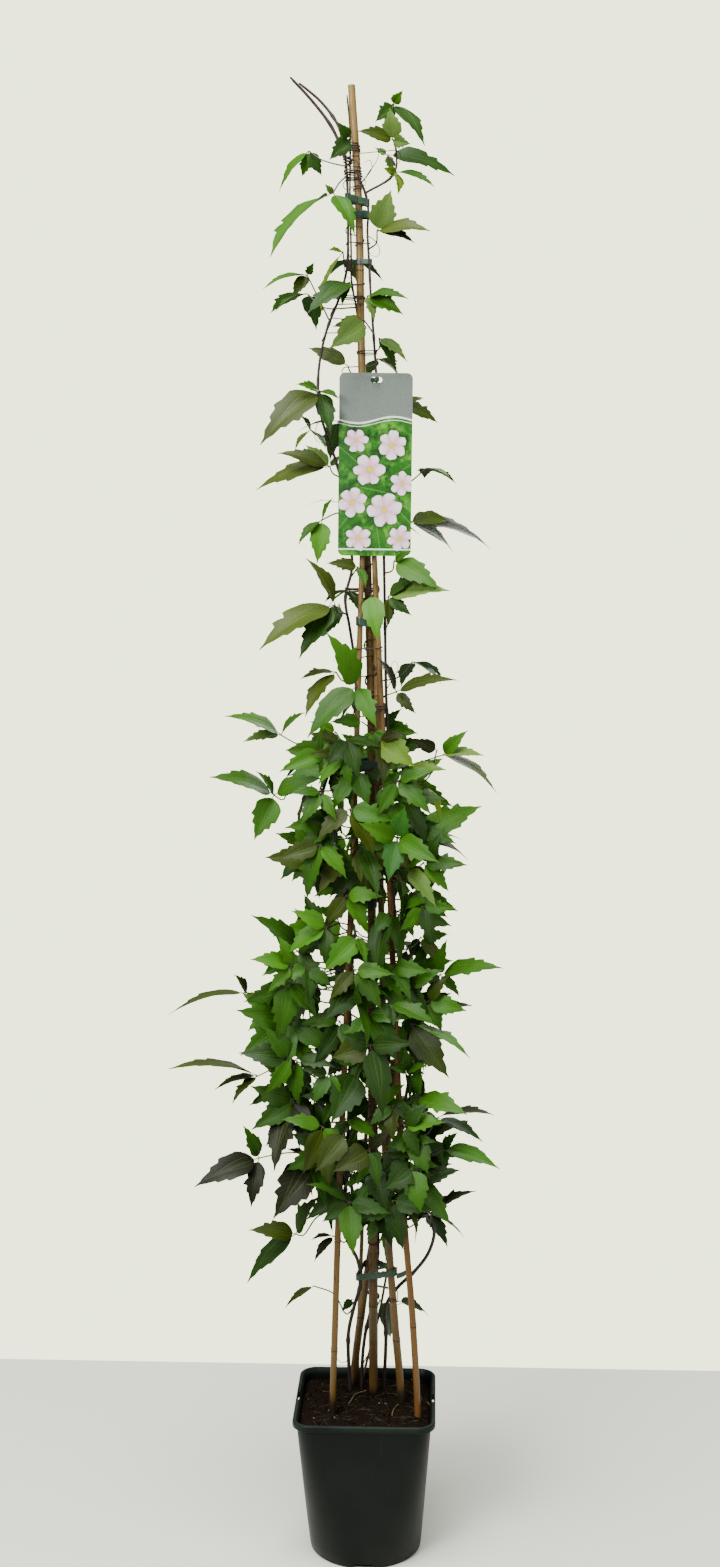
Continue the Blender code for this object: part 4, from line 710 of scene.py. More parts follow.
def leaf_finish(name, underside):
    """A leaf's upper or lower skin: its own tint, paler veins, a browned edge, and painted shade that
    darkens the lower leaves, which are also older.
    """
    finish = Finish(name, sheen=0.2)
    tint = finish.attribute("tint")
    veins, off = blade_veins(finish)
    where = finish.place()
    cloud = finish.noise(where, 55.0)
    grain = finish.noise(where, 900.0, 2.0)
    if underside:
        base = finish.mix(tint, linear(104, 116, 58), 0.42)
        base = finish.mix(base, linear(128, 138, 82), veins * 0.35)
    else:
        base = finish.mix(tint, linear(110, 146, 40), veins * 0.16)
        base = finish.mix(base, linear(74, 34, 12), (off.fade(0.85, 1.0) * cloud.fade(0.45, 0.7)) * 0.4)
    base = finish.mix(base, (0.5, 0.5, 0.5), (cloud - 0.5) * 0.12, "OVERLAY")
    shade = finish.mix((0.78, 0.84, 0.70), (1.18, 1.12, 0.95), cloud)
    base = finish.mix(base, shade, 1.0, "MULTIPLY")
    # Painted shade: darker towards the bottom of the plant, where less light reaches; the lower, older
    # leaves are darker in tone too.
    lower_shade = finish.mix((1, 1, 1), (0.68, 0.70, 0.60), finish.height().fade(1.05, 0.5))
    finish.set("Base Color", finish.mix(base, lower_shade, 1.0, "MULTIPLY"))
    finish.set("Roughness", (cloud - 0.5) * 0.2 + (0.66 if underside else 0.47))
    rise = veins * (0.8 if underside else -0.8)
    finish.relief(rise + grain * 0.08 + cloud * 0.5, 0.0005, 0.45)
    return finish.material


def bark_finish():
    """Young vine bark: purple brown, with paler ridges along it."""
    finish = Finish("vine_bark", 0.6)
    ridges = finish.noise(finish.place((700, 700, 60)), 1.0, 3.0)
    patch = finish.noise(finish.place(), 14.0)
    height = finish.height()
    base = finish.ramp(ridges, (0.25, linear(34, 20, 20)), (0.5, linear(46, 28, 27)),
                       (0.8, linear(58, 37, 33)))
    base = finish.mix(base, linear(60, 42, 26), patch.fade(0.5, 0.72) * 0.4)
    base = finish.mix(base, linear(22, 14, 12), height.fade(1.1, 0.5) * 0.7)
    finish.set("Base Color", base)
    finish.set("Roughness", ridges * 0.3 + 0.45)
    finish.relief(ridges, 0.0003, 0.4)
    return finish.material


def patched_finish(name, roughness, scale, first, second, fade, share=1.0):
    """A plain finish with cloudy patches of a second colour, and fine relief."""
    finish = Finish(name, roughness)
    first = finish.attribute("tint") if first is None else first
    patch = finish.noise(finish.place(), scale)
    finish.set("Base Color", finish.mix(first, second, patch.fade(*fade) * share))
    finish.relief(patch, 0.0003, 0.4)
    return finish.material


def bamboo_finish(name, pale, deep):
    """Cane skin: fine lines along it, a dark scar at each joint, stains, and a browner lower part, which
    also paints the shade of the leaves that cover it.
    """
    finish = Finish(name, 0.42, sheen=0.45)
    lines = finish.noise(finish.place((900, 900, 9)), 1.0, 4.0, 0.62)
    broad = finish.noise(finish.place((70, 70, 6)), 1.0, 3.0)
    stains = finish.noise(finish.place((120, 120, 45)), 1.0, 4.0)
    joint = finish.attribute("joint", out=2)
    height = finish.height()
    base = finish.mix(pale, deep, lines.fade(0.3, 0.75) * 0.75)
    base = finish.mix(base, deep, broad.fade(0.42, 0.66) * 0.6)
    # The lower part takes the cane's own browner tint, darkened also as painted shade under the leaves.
    low = finish.mix(finish.attribute("tint"), finish.mix(base, deep, 0.5), lines.fade(0.3, 0.8) * 0.35)
    base = finish.mix(base, low, height.fade(1.75, 0.9) * 0.8)
    base = finish.mix(base, linear(36, 24, 14), stains.fade(0.60, 0.74) * 0.6)
    base = finish.mix(base, linear(34, 22, 12), joint.fade(0.35, 0.95) * 0.7)
    base = finish.mix(base, linear(18, 11, 6), finish.attribute("damp", out=2).fade(0.1, 0.9) * 0.96)
    finish.set("Base Color", base)
    finish.set("Roughness", lines * 0.25 + stains.fade(0.55, 0.7) * 0.25 + 0.30)
    finish.relief(lines + stains.fade(0.6, 0.72) * -0.4, 0.0004, 0.5)
    return finish.material


def plastic_finish():
    """The pot's dark moulded plastic: fine grain, faint vertical streaks of painted sheen, a painted
    highlight on the top of the lip, and dried splashes of dust towards the foot.
    """
    finish = Finish("pot_plastic", 0.45, sheen=0.11)
    where = finish.place()
    grain = finish.noise(where, 2600.0, 2.0)
    cloud = finish.noise(where, 14.0, 3.0)
    sheen_streaks = finish.noise(finish.place((120, 120, 7)), 1.0, 3.0)
    height = finish.height()
    base = finish.mix(linear(6, 11, 8), linear(11, 17, 13), cloud.fade(0.35, 0.7))
    # Painted highlight: the top of the lip lighter in patches.
    base = finish.mix(base, linear(34, 46, 40), height.fade(0.2155, 0.2225) * cloud.fade(0.25, 0.6) * 0.55)
    # Painted sheen in faint vertical streaks, and real dust towards the foot.
    dust_and_sheen = (sheen_streaks.fade(0.6, 0.8) * 0.05) + (height.fade(0.045, 0.0) * cloud.fade(0.4, 0.7) * 0.10)
    base = finish.mix(base, linear(80, 74, 64), dust_and_sheen)
    finish.set("Base Color", base)
    finish.set("Roughness", cloud * 0.16 + dust_and_sheen * 0.9 + 0.34)
    finish.relief(grain + cloud * 0.3, 0.00012, 0.5)
    return finish.material


def soil_finish(name, lighter):
    """Damp dark soil with pale bits; the loose crumbs on it also show their own tints."""
    finish = Finish(name, 0.95, sheen=0.04)
    where = finish.place()
    crumbs = finish.noise(where, 210.0, 5.0, 0.7)
    patch = finish.noise(where, 26.0, 3.0)
    bits = finish.cells(where, 380.0)
    base = finish.ramp(crumbs, (0.28, linear(9, 6, 4)), (0.55, linear(24, 16, 9)),
                       (0.8, linear(44, 31, 18)))
    base = finish.mix(base, linear(20, 19, 9), patch.fade(0.5, 0.7) * 0.5)
    base = finish.mix(base, linear(80, 66, 40), bits.fade(0.14, 0.08) * patch.fade(0.45, 0.65) * 0.3)
    if lighter:
        base = finish.mix(base, finish.attribute("tint"), 0.8)
    finish.set("Base Color", base)
    finish.relief(crumbs + bits * 0.3, 0.0016, 0.9)
    return finish.material


def tape_finish():
    """Soft green garden tape: stretched lines along it, and cloudy raised spots painted lighter as
    highlights.
    """
    finish = Finish("tie_tape", 0.38, sheen=0.55)
    where = finish.place()
    lines = finish.noise(finish.place((60, 60, 1400)), 1.0, 3.0)
    cloud = finish.noise(where, 130.0, 3.0)
    # Painted highlight: the cloudy patches lighter, over the stretched lines.
    base = finish.mix(linear(18, 38, 27), linear(46, 76, 56), lines * 0.6 + cloud.fade(0.45, 0.75) * 0.5)
    finish.set("Base Color", base)
    finish.set("Roughness", cloud * 0.3 + 0.22)
    finish.relief(lines + cloud, 0.0004, 0.5)
    return finish.material


# Paths.


def smooth_line(points, step):
    """Evenly spaced points on a curve that runs smoothly through these."""
    padded = [2 * points[0] - points[1], *points, 2 * points[-1] - points[-2]]
    fine = []
    for before, start, end, after in zip(padded, padded[1:], padded[2:], padded[3:]):
        for i in range(12):
            t = i / 12
            fine.append(0.5 * (2 * start + (end - before) * t
                               + (2 * before - 5 * start + 4 * end - after) * t ** 2
                               + (3 * start - before - 3 * end + after) * t ** 3))
    fine.append(points[-1])
    length = line_length(fine)
    count = max(2, round(length / step))
    return [point_along(fine, length * i / count) for i in range(count + 1)]


def seen_line(places, step):
    """A smooth line through places on the view, each with its depth in mm."""
    return smooth_line([seen(x, y, depth * MM) for x, y, depth in places], step)


def point_along(line, distance):
    for a, b in zip(line, line[1:]):
        piece = (b - a).length
        if distance <= piece:
            return a.lerp(b, distance / piece) if piece else a.copy()
        distance -= piece
    return line[-1].copy()


def line_length(line):
    return sum((b - a).length for a, b in zip(line, line[1:]))


def spaced_round(outline, count=0, step=0.0):
    """A closed outline as this many points, or as points about this far apart, evenly spaced."""
    closed = [*outline, outline[0]]
    length = line_length(closed)
    count = count or max(8, round(length / step))
    return [point_along(closed, length * i / count) for i in range(count)]


def nearest_on(line, point):
    """The nearest point of a line of points, and its share of the way along."""
    best = None
    for i, (a, b) in enumerate(zip(line, line[1:])):
        near, share = intersect_point_line(point, a, b)
        share = min(max(share, 0.0), 1.0)
        near = a.lerp(b, share)
        gap = (near - point).length
        if best is None or gap < best[0]:
            best = (gap, near, (i + share) / (len(line) - 1))
    return best[1], best[2]


class Tube:
    """A cane or stem: a line of points with a thickness that changes evenly along it."""

    def __init__(self, points, foot, top):
        self.points = points
        self.foot = foot * MM / 2
        self.top = top * MM / 2

    def radius(self, share):
        return self.foot + (self.top - self.foot) * share

    def at_height(self, z):
        for i, (a, b) in enumerate(zip(self.points, self.points[1:])):
            if (a.z - z) * (b.z - z) <= 0 and a.z != b.z:
                share = (z - a.z) / (b.z - a.z)
                return a.lerp(b, share), self.radius((i + share) / (len(self.points) - 1))
        return None


def keep_clear(tube, others):
    """Moves the points of a stem sideways until it lies beside every other stem and cane."""
    count = len(tube.points) - 1
    for _ in range(4):
        for i, point in enumerate(tube.points):
            for other in others:
                near, share = nearest_on(other.points, point)
                apart = tube.radius(i / count) + other.radius(share) + STEM_CLEAR
                away = Vector((point.x - near.x, point.y - near.y, 0))
                rise = abs(point.z - near.z)
                if away.length < apart and rise < apart:
                    push = away.normalized() if away.length > 1e-6 else Vector((-1, 0, 0))
                    point += push * (apart - away.length)


def foot_added(points, foot):
    """The line with its foot carried down into the soil, a little towards the pot's axis."""
    first = points[0]
    return [Vector((first.x * FOOT_DRAW, first.y * FOOT_DRAW, foot)), *points]


def cane_paths():
    canes = {}
    for name, (places, foot, top, ground, *_) in CANES.items():
        canes[name] = Tube(foot_added(seen_line(places, CANE_STEP), ground), foot, top)
    return canes


def stem_paths(canes):
    """The stems with their shoots, each moved clear of the canes and of the stems before it."""
    stems = {}
    others = list(canes.values())
    for name, lines in STEMS.items():
        stems[name] = []
        for order, (places, foot, top) in enumerate(lines):
            points = seen_line(places, STEM_STEP)
            if order == 0:
                first = points[0]
                points = [Vector((first.x, first.y, STEM_FOOT)), *points]
            tube = Tube(points, foot, top)
            keep_clear(tube, others)
            if order:
                starts = [nearest_on(grown.points, tube.points[0])[0] for grown in stems[name]]
                tube.points[0] = min(starts, key=lambda start: (start - tube.points[0]).length)
            stems[name].append(tube)
        others.extend(stems[name])
    return stems


# How each leaf hangs.


def shown_blades(hub, depth, tips, swing, rng):
    """For each leaflet its tip, width and face, from what the view shows of it."""
    blades = []
    for x, y, width in tips:
        flat = seen(x, y, depth)
        shown = (flat - hub).length
        across = width * (flat - eye()).length / VIEW["focal"]
        length = min(max(shown * rng.uniform(*BLADE_TURNED), BLADE_MIN), shown * BLADE_STRETCH)
        sway = math.sqrt(length ** 2 - shown ** 2) * rng.uniform(*swing)
        tip = seen(x, y, depth - sway if depth <= 0.01 else depth + sway)
        axis = (tip - hub).normalized()
        sight = (eye() - (tip + hub) / 2).normalized()
        face = (sight - axis * sight.dot(axis)).normalized()
        side = face.cross(axis)
        full = max(across, BLADE_SHARE * (tip - hub).length)
        roll = math.acos(min(1.0, across / full))
        roll = math.copysign(roll, side.z if abs(side.z) > 0.05 else 1)
        blades.append((tip, full, (face * math.cos(roll) + side * math.sin(roll)).normalized()))
    return blades


def petiole_line(hub, via, root, axis_point, sag):
    """Points from the hub back to the stem: by the places seen, or in one easy bend."""
    if via:
        return [hub, *reversed(via), root]
    middle = hub.lerp(root, 0.5)
    out = Vector((middle.x - axis_point.x, middle.y - axis_point.y, 0))
    reach = (hub - root).length
    share, most = PETIOLE_BEND
    bend = out.normalized() * min(share * reach, most) if out.length > 1e-5 else Vector()
    return [hub, middle + bend - Vector((0, 0, math.copysign(PETIOLE_SAG * reach, sag))), root]


def seen_leaf_tries(leaf, stems, seed):
    """Every way that a leaf may hang, in the order in which they are tried."""
    stem, place, depth, tips = leaf[:4]
    via = leaf[5] if len(leaf) > 5 else ()
    for name in [stem] + [other for other in stems if other != stem]:
        for draw, swing, rise, shift in ((d, s, r, z) for r in ROOT_RISES
                                         for d, s in enumerate(SWINGS) for z in SHIFTS):
            deep = (depth * DEPTH_SHARE + shift) * MM
            hub = seen(*place, deep)
            rng = random.Random(100 * seed + draw)
            blades = shown_blades(hub, deep, tips, swing, rng)
            first = seen(*via[0], deep) if via else hub + Vector((0, 0, rise))
            tube = min(stems[name], key=lambda t: (nearest_on(t.points, first)[0] - first).length)
            root = nearest_on(tube.points, first)[0]
            passed = []
            for i, (x, y) in enumerate(via):
                share = (i + 1) / (len(via) + 1)
                passed.append(seen(x, y, root.y + (deep - root.y) * share))
            axis_point = stems["back"][0].at_height(max(AXIS_LOW, min(hub.z, AXIS_HIGH)))[0]
            yield name, hub, blades, petiole_line(hub, passed, root, axis_point, -rise)


def back_leaf_tries(index, stems):
    """A leaf on the far side: the height and the side go round by a rule, with seeded sizes."""
    rng = random.Random(BACK_SEED + index)
    z = BACK_LOW + (BACK_HIGH - BACK_LOW) * (index + 0.5) / BACK_LEAVES + rng.uniform(-1, 1) * BACK_UNEVEN
    turn = BACK_SIDE + (index * BACK_GOLDEN) % (math.pi - 2 * BACK_SIDE)
    reach = rng.uniform(*BACK_REACH)
    length = rng.uniform(*BACK_LENGTH)
    for extra in BACK_TURNS:
        for name in ("back", "right", "left"):
            root = stems[name][0].at_height(z)
            if root is None:
                continue
            root = root[0]
            aim = Vector((math.cos(turn + extra), math.sin(turn + extra), 0))
            hub = root + aim * reach + Vector((0, 0, BACK_RISE * reach))
            blades = []
            for spread, share in BACK_SPREAD:
                out = Matrix.Rotation(spread + rng.uniform(-BACK_SWAY, BACK_SWAY), 3, "Z") @ aim
                drop = rng.uniform(*BACK_DROP)
                axis = (out + Vector((0, 0, -drop))).normalized()
                face = Vector((0, 0, 1)) - axis * axis.z
                blades.append((hub + axis * length * share, BACK_WIDE * length * share, face.normalized()))
            yield name, hub, blades, petiole_line(hub, [], root, root, 1.0)


def frame_corners(stems):
    """A search tree of the corners of each leafy stem in the frame."""
    corners = {}
    for name in stems:
        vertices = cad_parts["leafy_stem_" + name].data.vertices
        corners[name] = KDTree(len(vertices))
        for vertex in vertices:
            corners[name].insert(vertex.co, vertex.index)
        corners[name].balance()
    return corners


def as_framed(tries, corners):
    """The one way to hang that the frame has: its leaflets' tips are corners there."""
    for name, hub, blades, line in tries:
        met = 0
        for tip, _, face in blades:
            axis = tip - hub
            lift = (face - axis * face.dot(axis) / axis.length_squared).normalized() * BLADE / 2
            near = min(corners[name].find(tip + lift)[2], corners[name].find(tip - lift)[2])
            met += near < NEAR_CORNER
        if 2 * met > len(blades):
            return name, hub, blades, line
    return None


class Crowd:
    """What is already in place, so that each inner leaf can hang clear of it."""

    def __init__(self, nodes):
        self.trees = []
        for name in nodes:
            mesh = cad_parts[name].data
            self.add([vertex.co.copy() for vertex in mesh.vertices],
                     [tuple(face.vertices) for face in mesh.polygons])

    def add(self, points, faces):
        self.trees.append(BVHTree.FromPolygons(points, faces))

    def crossed(self, points, faces):
        tree = BVHTree.FromPolygons(points, faces)
        return any(tree.overlap(other) for other in self.trees)


def kites(hub, blades):
    """Each leaflet as four corners and its two halves."""
    points, faces = [], []
    for tip, width, face in blades:
        axis = tip - hub
        side = face.cross(axis).normalized() * width * 0.5
        lift = face * axis.length * BLADE_ARCH
        start = len(points)
        points += [hub + axis * 0.08, hub + axis * 0.4 + side + lift, tip, hub + axis * 0.4 - side + lift]
        faces += [(start, start + 1, start + 2), (start, start + 2, start + 3)]
    return points, faces


def mass_edges(y):
    """The left and right edge of the plant's mass at this height on the view."""
    for (y0, left0, right0), (y1, left1, right1) in zip(MASS, MASS[1:]):
        if y0 <= y <= y1:
            share = (y - y0) / (y1 - y0)
            return left0 + (left1 - left0) * share, right0 + (right1 - right0) * share
    return MASS[-1][1:]


def inner_leaf(index, stems, rng):
    """One way for an inner leaf to hang: three drooping leaflets that face the viewer or a side."""
    y = INNER_FIRST + (MASS[-1][0] - INNER_FIRST) * ((index * GOLDEN + rng.uniform(-0.01, 0.01)) % 1.0)
    left, right = mass_edges(y)
    x = rng.uniform(left + INNER_EDGE, right - INNER_EDGE)
    side = math.copysign(1, x - (left + right) / 2)
    flank = rng.random() < FLANK_SHARE
    depth = rng.uniform(*(FLANK_DEPTHS if flank else rng.choice(INNER_DEPTHS))) * MM
    hub = seen(x, y, depth)
    if flank:
        sight, across = Vector((side, 0, 0.1)), Vector((0, 1, 0))
        aim = rng.uniform(-FLANK_AIM, FLANK_AIM)
    else:
        sight, across = (eye() - hub).normalized(), Vector((1, 0, 0))
        aim = rng.uniform(-INNER_AIM, INNER_AIM) + (x - (left + right) / 2) * INNER_FAN
    length = rng.uniform(*INNER_LENGTH)
    blades = []
    for spread, share in INNER_SPREAD:
        angle = aim + spread + rng.uniform(-INNER_SWAY, INNER_SWAY)
        out = rng.uniform(-INNER_TURNED, INNER_TURNED)
        out = out if depth > 0 and not flank else abs(out) * INNER_HELD
        axis = across * math.sin(angle) + sight * out - Vector((0, 0, math.cos(angle)))
        axis.normalize()
        face = sight + across * rng.uniform(-INNER_LEAN, INNER_LEAN)
        face += Vector((0, 0, rng.uniform(*INNER_UPWARD)))
        face = (face - axis * face.dot(axis)).normalized()
        long = length * share
        blades.append((hub + axis * long, long * rng.uniform(*INNER_WIDE), face))
    name = min(stems, key=lambda key: (nearest_on(stems[key][0].points, hub)[0] - hub).length)
    root = nearest_on(stems[name][0].points, hub + Vector((0, 0, -0.012)))[0]
    return name, hub, blades, petiole_line(hub, [], root, root, 1.0)


def inner_leaves(stems, leaves):
    """Leaves added inside the plant's mass, each where it clears what is in place."""
    crowd = Crowd([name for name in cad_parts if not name.startswith(("leafy", "pot"))])
    for _, hub, blades, _, _ in leaves:
        crowd.add(*kites(hub, blades))
    added = []
    rng = random.Random(INNER_SEED)
    for index in range(INNER_LEAVES):
        for _ in range(INNER_TRIES):
            found = inner_leaf(index, stems, rng)
            points, faces = kites(found[1], found[2])
            if not crowd.crossed(points, faces):
                crowd.add(points, faces)
                added.append((*found, "".join(rng.choice(INNER_SHADE_TINTS) for _ in range(3))))
                break
    return added


def hung_leaves(stems):
    """Each leaf as (stem, hub, blades, petiole line, tints), as the frame has it."""
    corners = frame_corners(stems)
    leaves = []
    for order, leaf in enumerate(LEAVES):
        found = as_framed(seen_leaf_tries(leaf, stems, order), corners)
        if found:
            leaves.append((*found, leaf[4]))
    rng = random.Random(BACK_SEED)
    for index in range(BACK_LEAVES):
        found = as_framed(back_leaf_tries(index, stems), corners)
        tints = "".join(rng.choice(BACK_TINTS) for _ in range(3))
        if found:
            leaves.append((*found, tints))
    return leaves + inner_leaves(stems, leaves)


# Meshes.


def placed(name, data):
    """An object of this mesh, curve, lamp or camera, in the scene."""
    holder = bpy.data.objects.new(name, data)
    bpy.context.scene.collection.objects.link(holder)
    return holder


def put(name, mesh, surfaces, slot, stands_for=(), sharp=40):
    """The finished piece of this mesh, riding with the pot."""
    mesh.materials.clear()
    for surface in surfaces:
        mesh.materials.append(surface)
    mesh.shade_smooth()
    mesh.set_sharp_from_angle(angle=math.radians(sharp))
    piece = placed(name, mesh)
    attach(piece, "root")
    if stands_for:
        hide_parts(*stands_for)


def opened(mesh):
    """The mesh as a shape that can be worked on."""
    shape = bmesh.new()
    shape.from_mesh(mesh)
    return shape


def mesh_of(shape, mesh=None):
    """The shape as a mesh: this one, or a new one."""
    mesh = mesh or bpy.data.meshes.new("shape")
    shape.to_mesh(mesh)
    shape.free()
    return mesh


def closed_up(mesh, apart):
    """The mesh with its doubles merged and every face outwards."""
    shape = opened(mesh)
    bmesh.ops.remove_doubles(shape, verts=shape.verts, dist=apart)
    bmesh.ops.recalc_face_normals(shape, faces=shape.faces)
    return mesh_of(shape, mesh)


def evaluated(holder):
    """The mesh of an object with its modifiers or bevel applied; the object is removed."""
    mesh = bpy.data.meshes.new_from_object(holder.evaluated_get(bpy.context.evaluated_depsgraph_get()))
    bpy.data.objects.remove(holder)
    return mesh


def tubes_mesh(lines, sides):
    """One mesh of round tubes; each line is its points and their radii."""
    curve = bpy.data.curves.new("lines", "CURVE")
    curve.dimensions = "3D"
    curve.bevel_depth = 1.0
    curve.bevel_resolution = (sides - 4) // 2
    curve.use_fill_caps = True
    for points, radii in lines:
        spline = curve.splines.new("POLY")
        spline.points.add(len(points) - 1)
        for place, point, radius in zip(spline.points, points, radii):
            place.co = (*point, 1)
            place.radius = radius
    return closed_up(evaluated(placed("lines", curve)), 0.000002)


def lofted(rings):
    """A closed skin through rings of equally many points, with flat ends."""
    shape = bmesh.new()
    end = shape.faces.new([shape.verts.new(point) for point in rings[0]])
    for ring in rings[1:]:
        grown = bmesh.ops.extrude_face_region(shape, geom=[end, *end.edges])["geom"]
        end = next(item for item in grown if isinstance(item, bmesh.types.BMFace))
        for vert, point in zip(end.verts, ring):
            vert.co = point
    bmesh.ops.recalc_face_normals(shape, faces=shape.faces)
    return mesh_of(shape)


def boolean_cut(mesh, cutters):
    """The mesh with each cutter box taken out of it."""
    holder = placed("cut", mesh)
    boxes = []
    for size, place in cutters:
        shape = bmesh.new()
        bmesh.ops.create_cube(shape, size=1.0)
        bmesh.ops.bevel(shape, geom=shape.edges, offset=0.12, segments=2, profile=0.5, affect="EDGES",
                        material=-1)
        bmesh.ops.scale(shape, vec=size, verts=shape.verts)
        bmesh.ops.translate(shape, vec=place, verts=shape.verts)
        box = placed("cutter", mesh_of(shape))
        cut = holder.modifiers.new("cut", "BOOLEAN")
        cut.operation = "DIFFERENCE"
        cut.object = box
        boxes.append(box)
    cut_mesh = evaluated(holder)
    for box in boxes:
        bpy.data.objects.remove(box)
    return cut_mesh


def rounded_points(middle, half, corner, count):
    """Points round a rectangle with round corners, by its middle and its half sizes."""
    points = []
    for quarter in range(4):
        turn = Matrix.Rotation(quarter * math.pi / 2, 2)
        wide, high = reversed(half) if quarter % 2 else half
        for i in range(count):
            angle = i / (count - 1) * math.pi / 2
            local = Vector((wide - corner + corner * math.cos(angle),
                            high - corner + corner * math.sin(angle)))
            points.append(Vector(middle) + turn @ local)
    return points


def rounded_square(half, corner, height, count=POT_CORNER_POINTS):
    """Points round a square with round corners, which is a circle where the corner is the half."""
    return [Vector((x, y, height)) for x, y in rounded_points((0, 0), (half, half), corner, count)]


def wall_at(z, inset):
    """Half width and corner radius of the pot's wall at a height."""
    share = z / POT_HEIGHT
    half = BASE_RADIUS + (BODY_WIDTH / 2 - BASE_RADIUS) * share - inset
    corner = BASE_RADIUS + (RIM_CORNER - BASE_RADIUS) * min(1.0, share * 1.05) ** 0.8 - inset
    return half, min(corner, half - 0.0004)


# The pot and its soil.


def make_pot():
    """The pot's shell in one turn: up the outside, over the lip and down the inside, then its slots."""
    under_lip = POT_HEIGHT - LIP_HEIGHT
    rings = [rounded_square(*wall_at(level, inset), z) for level, inset, z in FOOT_TURNS]
    rings += [rounded_square(*wall_at(z, 0.0), z) for z in OUTER_LEVELS]
    lip = RIM_WIDTH / 2
    rings += [rounded_square(lip + out, LIP_CORNER + out, under_lip + z) for out, z in LIP_TURNS]
    rings += [rounded_square(*wall_at(z, WALL), z) for z in INNER_LEVELS]
    floor, inset = INNER_FLOOR
    rings.append(rounded_square(*wall_at(floor, WALL + inset), floor))
    slots = [((*HANDLE_SLOT, 4 * LIP_HEIGHT), (side * (lip - HANDLE_INSET), HANDLE_SHIFT, POT_HEIGHT))
             for side in (-1, 1)]
    for x, y in ((1, 0), (0, 1), (-1, 0), (0, -1)):
        size = (DRAIN_DEEP, DRAIN_SLOT[0]) if x else (DRAIN_SLOT[0], DRAIN_DEEP)
        slots.append(((*size, 2 * DRAIN_SLOT[1]), (x * DRAIN_REACH, y * DRAIN_REACH, 0)))
    put("pot_shell", boolean_cut(lofted(rings), slots), [plastic_finish()], "pot", ["pot"],
        sharp=34)


def soil_height(x, y):
    """The soil's uneven top: low waves, a slight mound at the middle, and crumbs."""
    waves = math.sin(61 * x + 1.3) * math.cos(53 * y) + 0.6 * math.sin(117 * y + 80 * x)
    low = SOIL_TOP + SOIL_BUMP * (0.5 * waves + 0.9 - (x * x + y * y) / 0.0100)
    crumbs = noise.fractal(Vector((x * 190, y * 190, 3.7)), 0.9, 2.1, 4)
    lumps = noise.noise(Vector((x * 70, y * 70, 8.1)))
    return low + 0.0010 * crumbs + 0.0012 * lumps


def soil_ring(level, share, height):
    """Evenly spaced points round the pot's inside at a level, drawn in to this share."""
    half, corner = wall_at(level, WALL + SOIL_GAP)
    return spaced_round(rounded_square(half * share, corner * share, height, 10), SOIL_ROUND)


def make_soil():
    """The soil as a closed body with an uneven top."""
    rings = [soil_ring(level, 1.0, level) for level in SOIL_LEVELS]
    for i in range(SOIL_RINGS):
        ring = soil_ring(SOIL_TOP, 1 - i / SOIL_RINGS, 0)
        for point in ring:
            point.z = soil_height(point.x, point.y) - (0 if i else SOIL_EDGE_DROP)
        rings.append(ring)
    put("soil_bed", lofted(rings), [soil_finish("damp_soil", False)], "soil", ["potting_soil"], sharp=80)


def make_crumbs():
    """Crumbs, bits of bark and pale grit that lie on the soil."""
    rng = random.Random(CRUMB_SEED)
    shape = bmesh.new()
    tint = shape.verts.layers.float_color.new("tint")
    colours = [linear(*colour) for colour, _ in CRUMB_COLOURS]
    chances = [chance for _, chance in CRUMB_COLOURS]
    half = wall_at(SOIL_TOP, WALL)[0] - 0.004
    for _ in range(CRUMBS):
        x, y = rng.uniform(-half, half), rng.uniform(-half, half)
        if abs(x) + abs(y) > 2 * half - 0.014:
            continue
        size = rng.uniform(*CRUMB_SIZES) * rng.choice(CRUMB_SHARES)
        grown = bmesh.ops.create_icosphere(shape, subdivisions=1, radius=size)
        colour = rng.choices(colours, chances)[0]
        turn = Matrix.Rotation(rng.uniform(0, 6.28), 3, (rng.random(), rng.random(), rng.random() + 0.1))
        flat = Vector([rng.uniform(*limits) for limits in CRUMB_FLAT])
        centre = Vector((x, y, soil_height(x, y) + size * 0.15))
        for vert in grown["verts"]:
            vert[tint] = (*colour, 1)
            grain = 1 + 0.3 * noise.noise(vert.co * 900 + centre * 500)
            vert.co = centre + turn @ (vert.co * flat * grain)
    put("soil_crumbs", mesh_of(shape), [soil_finish("crumb_soil", True)], "soil")


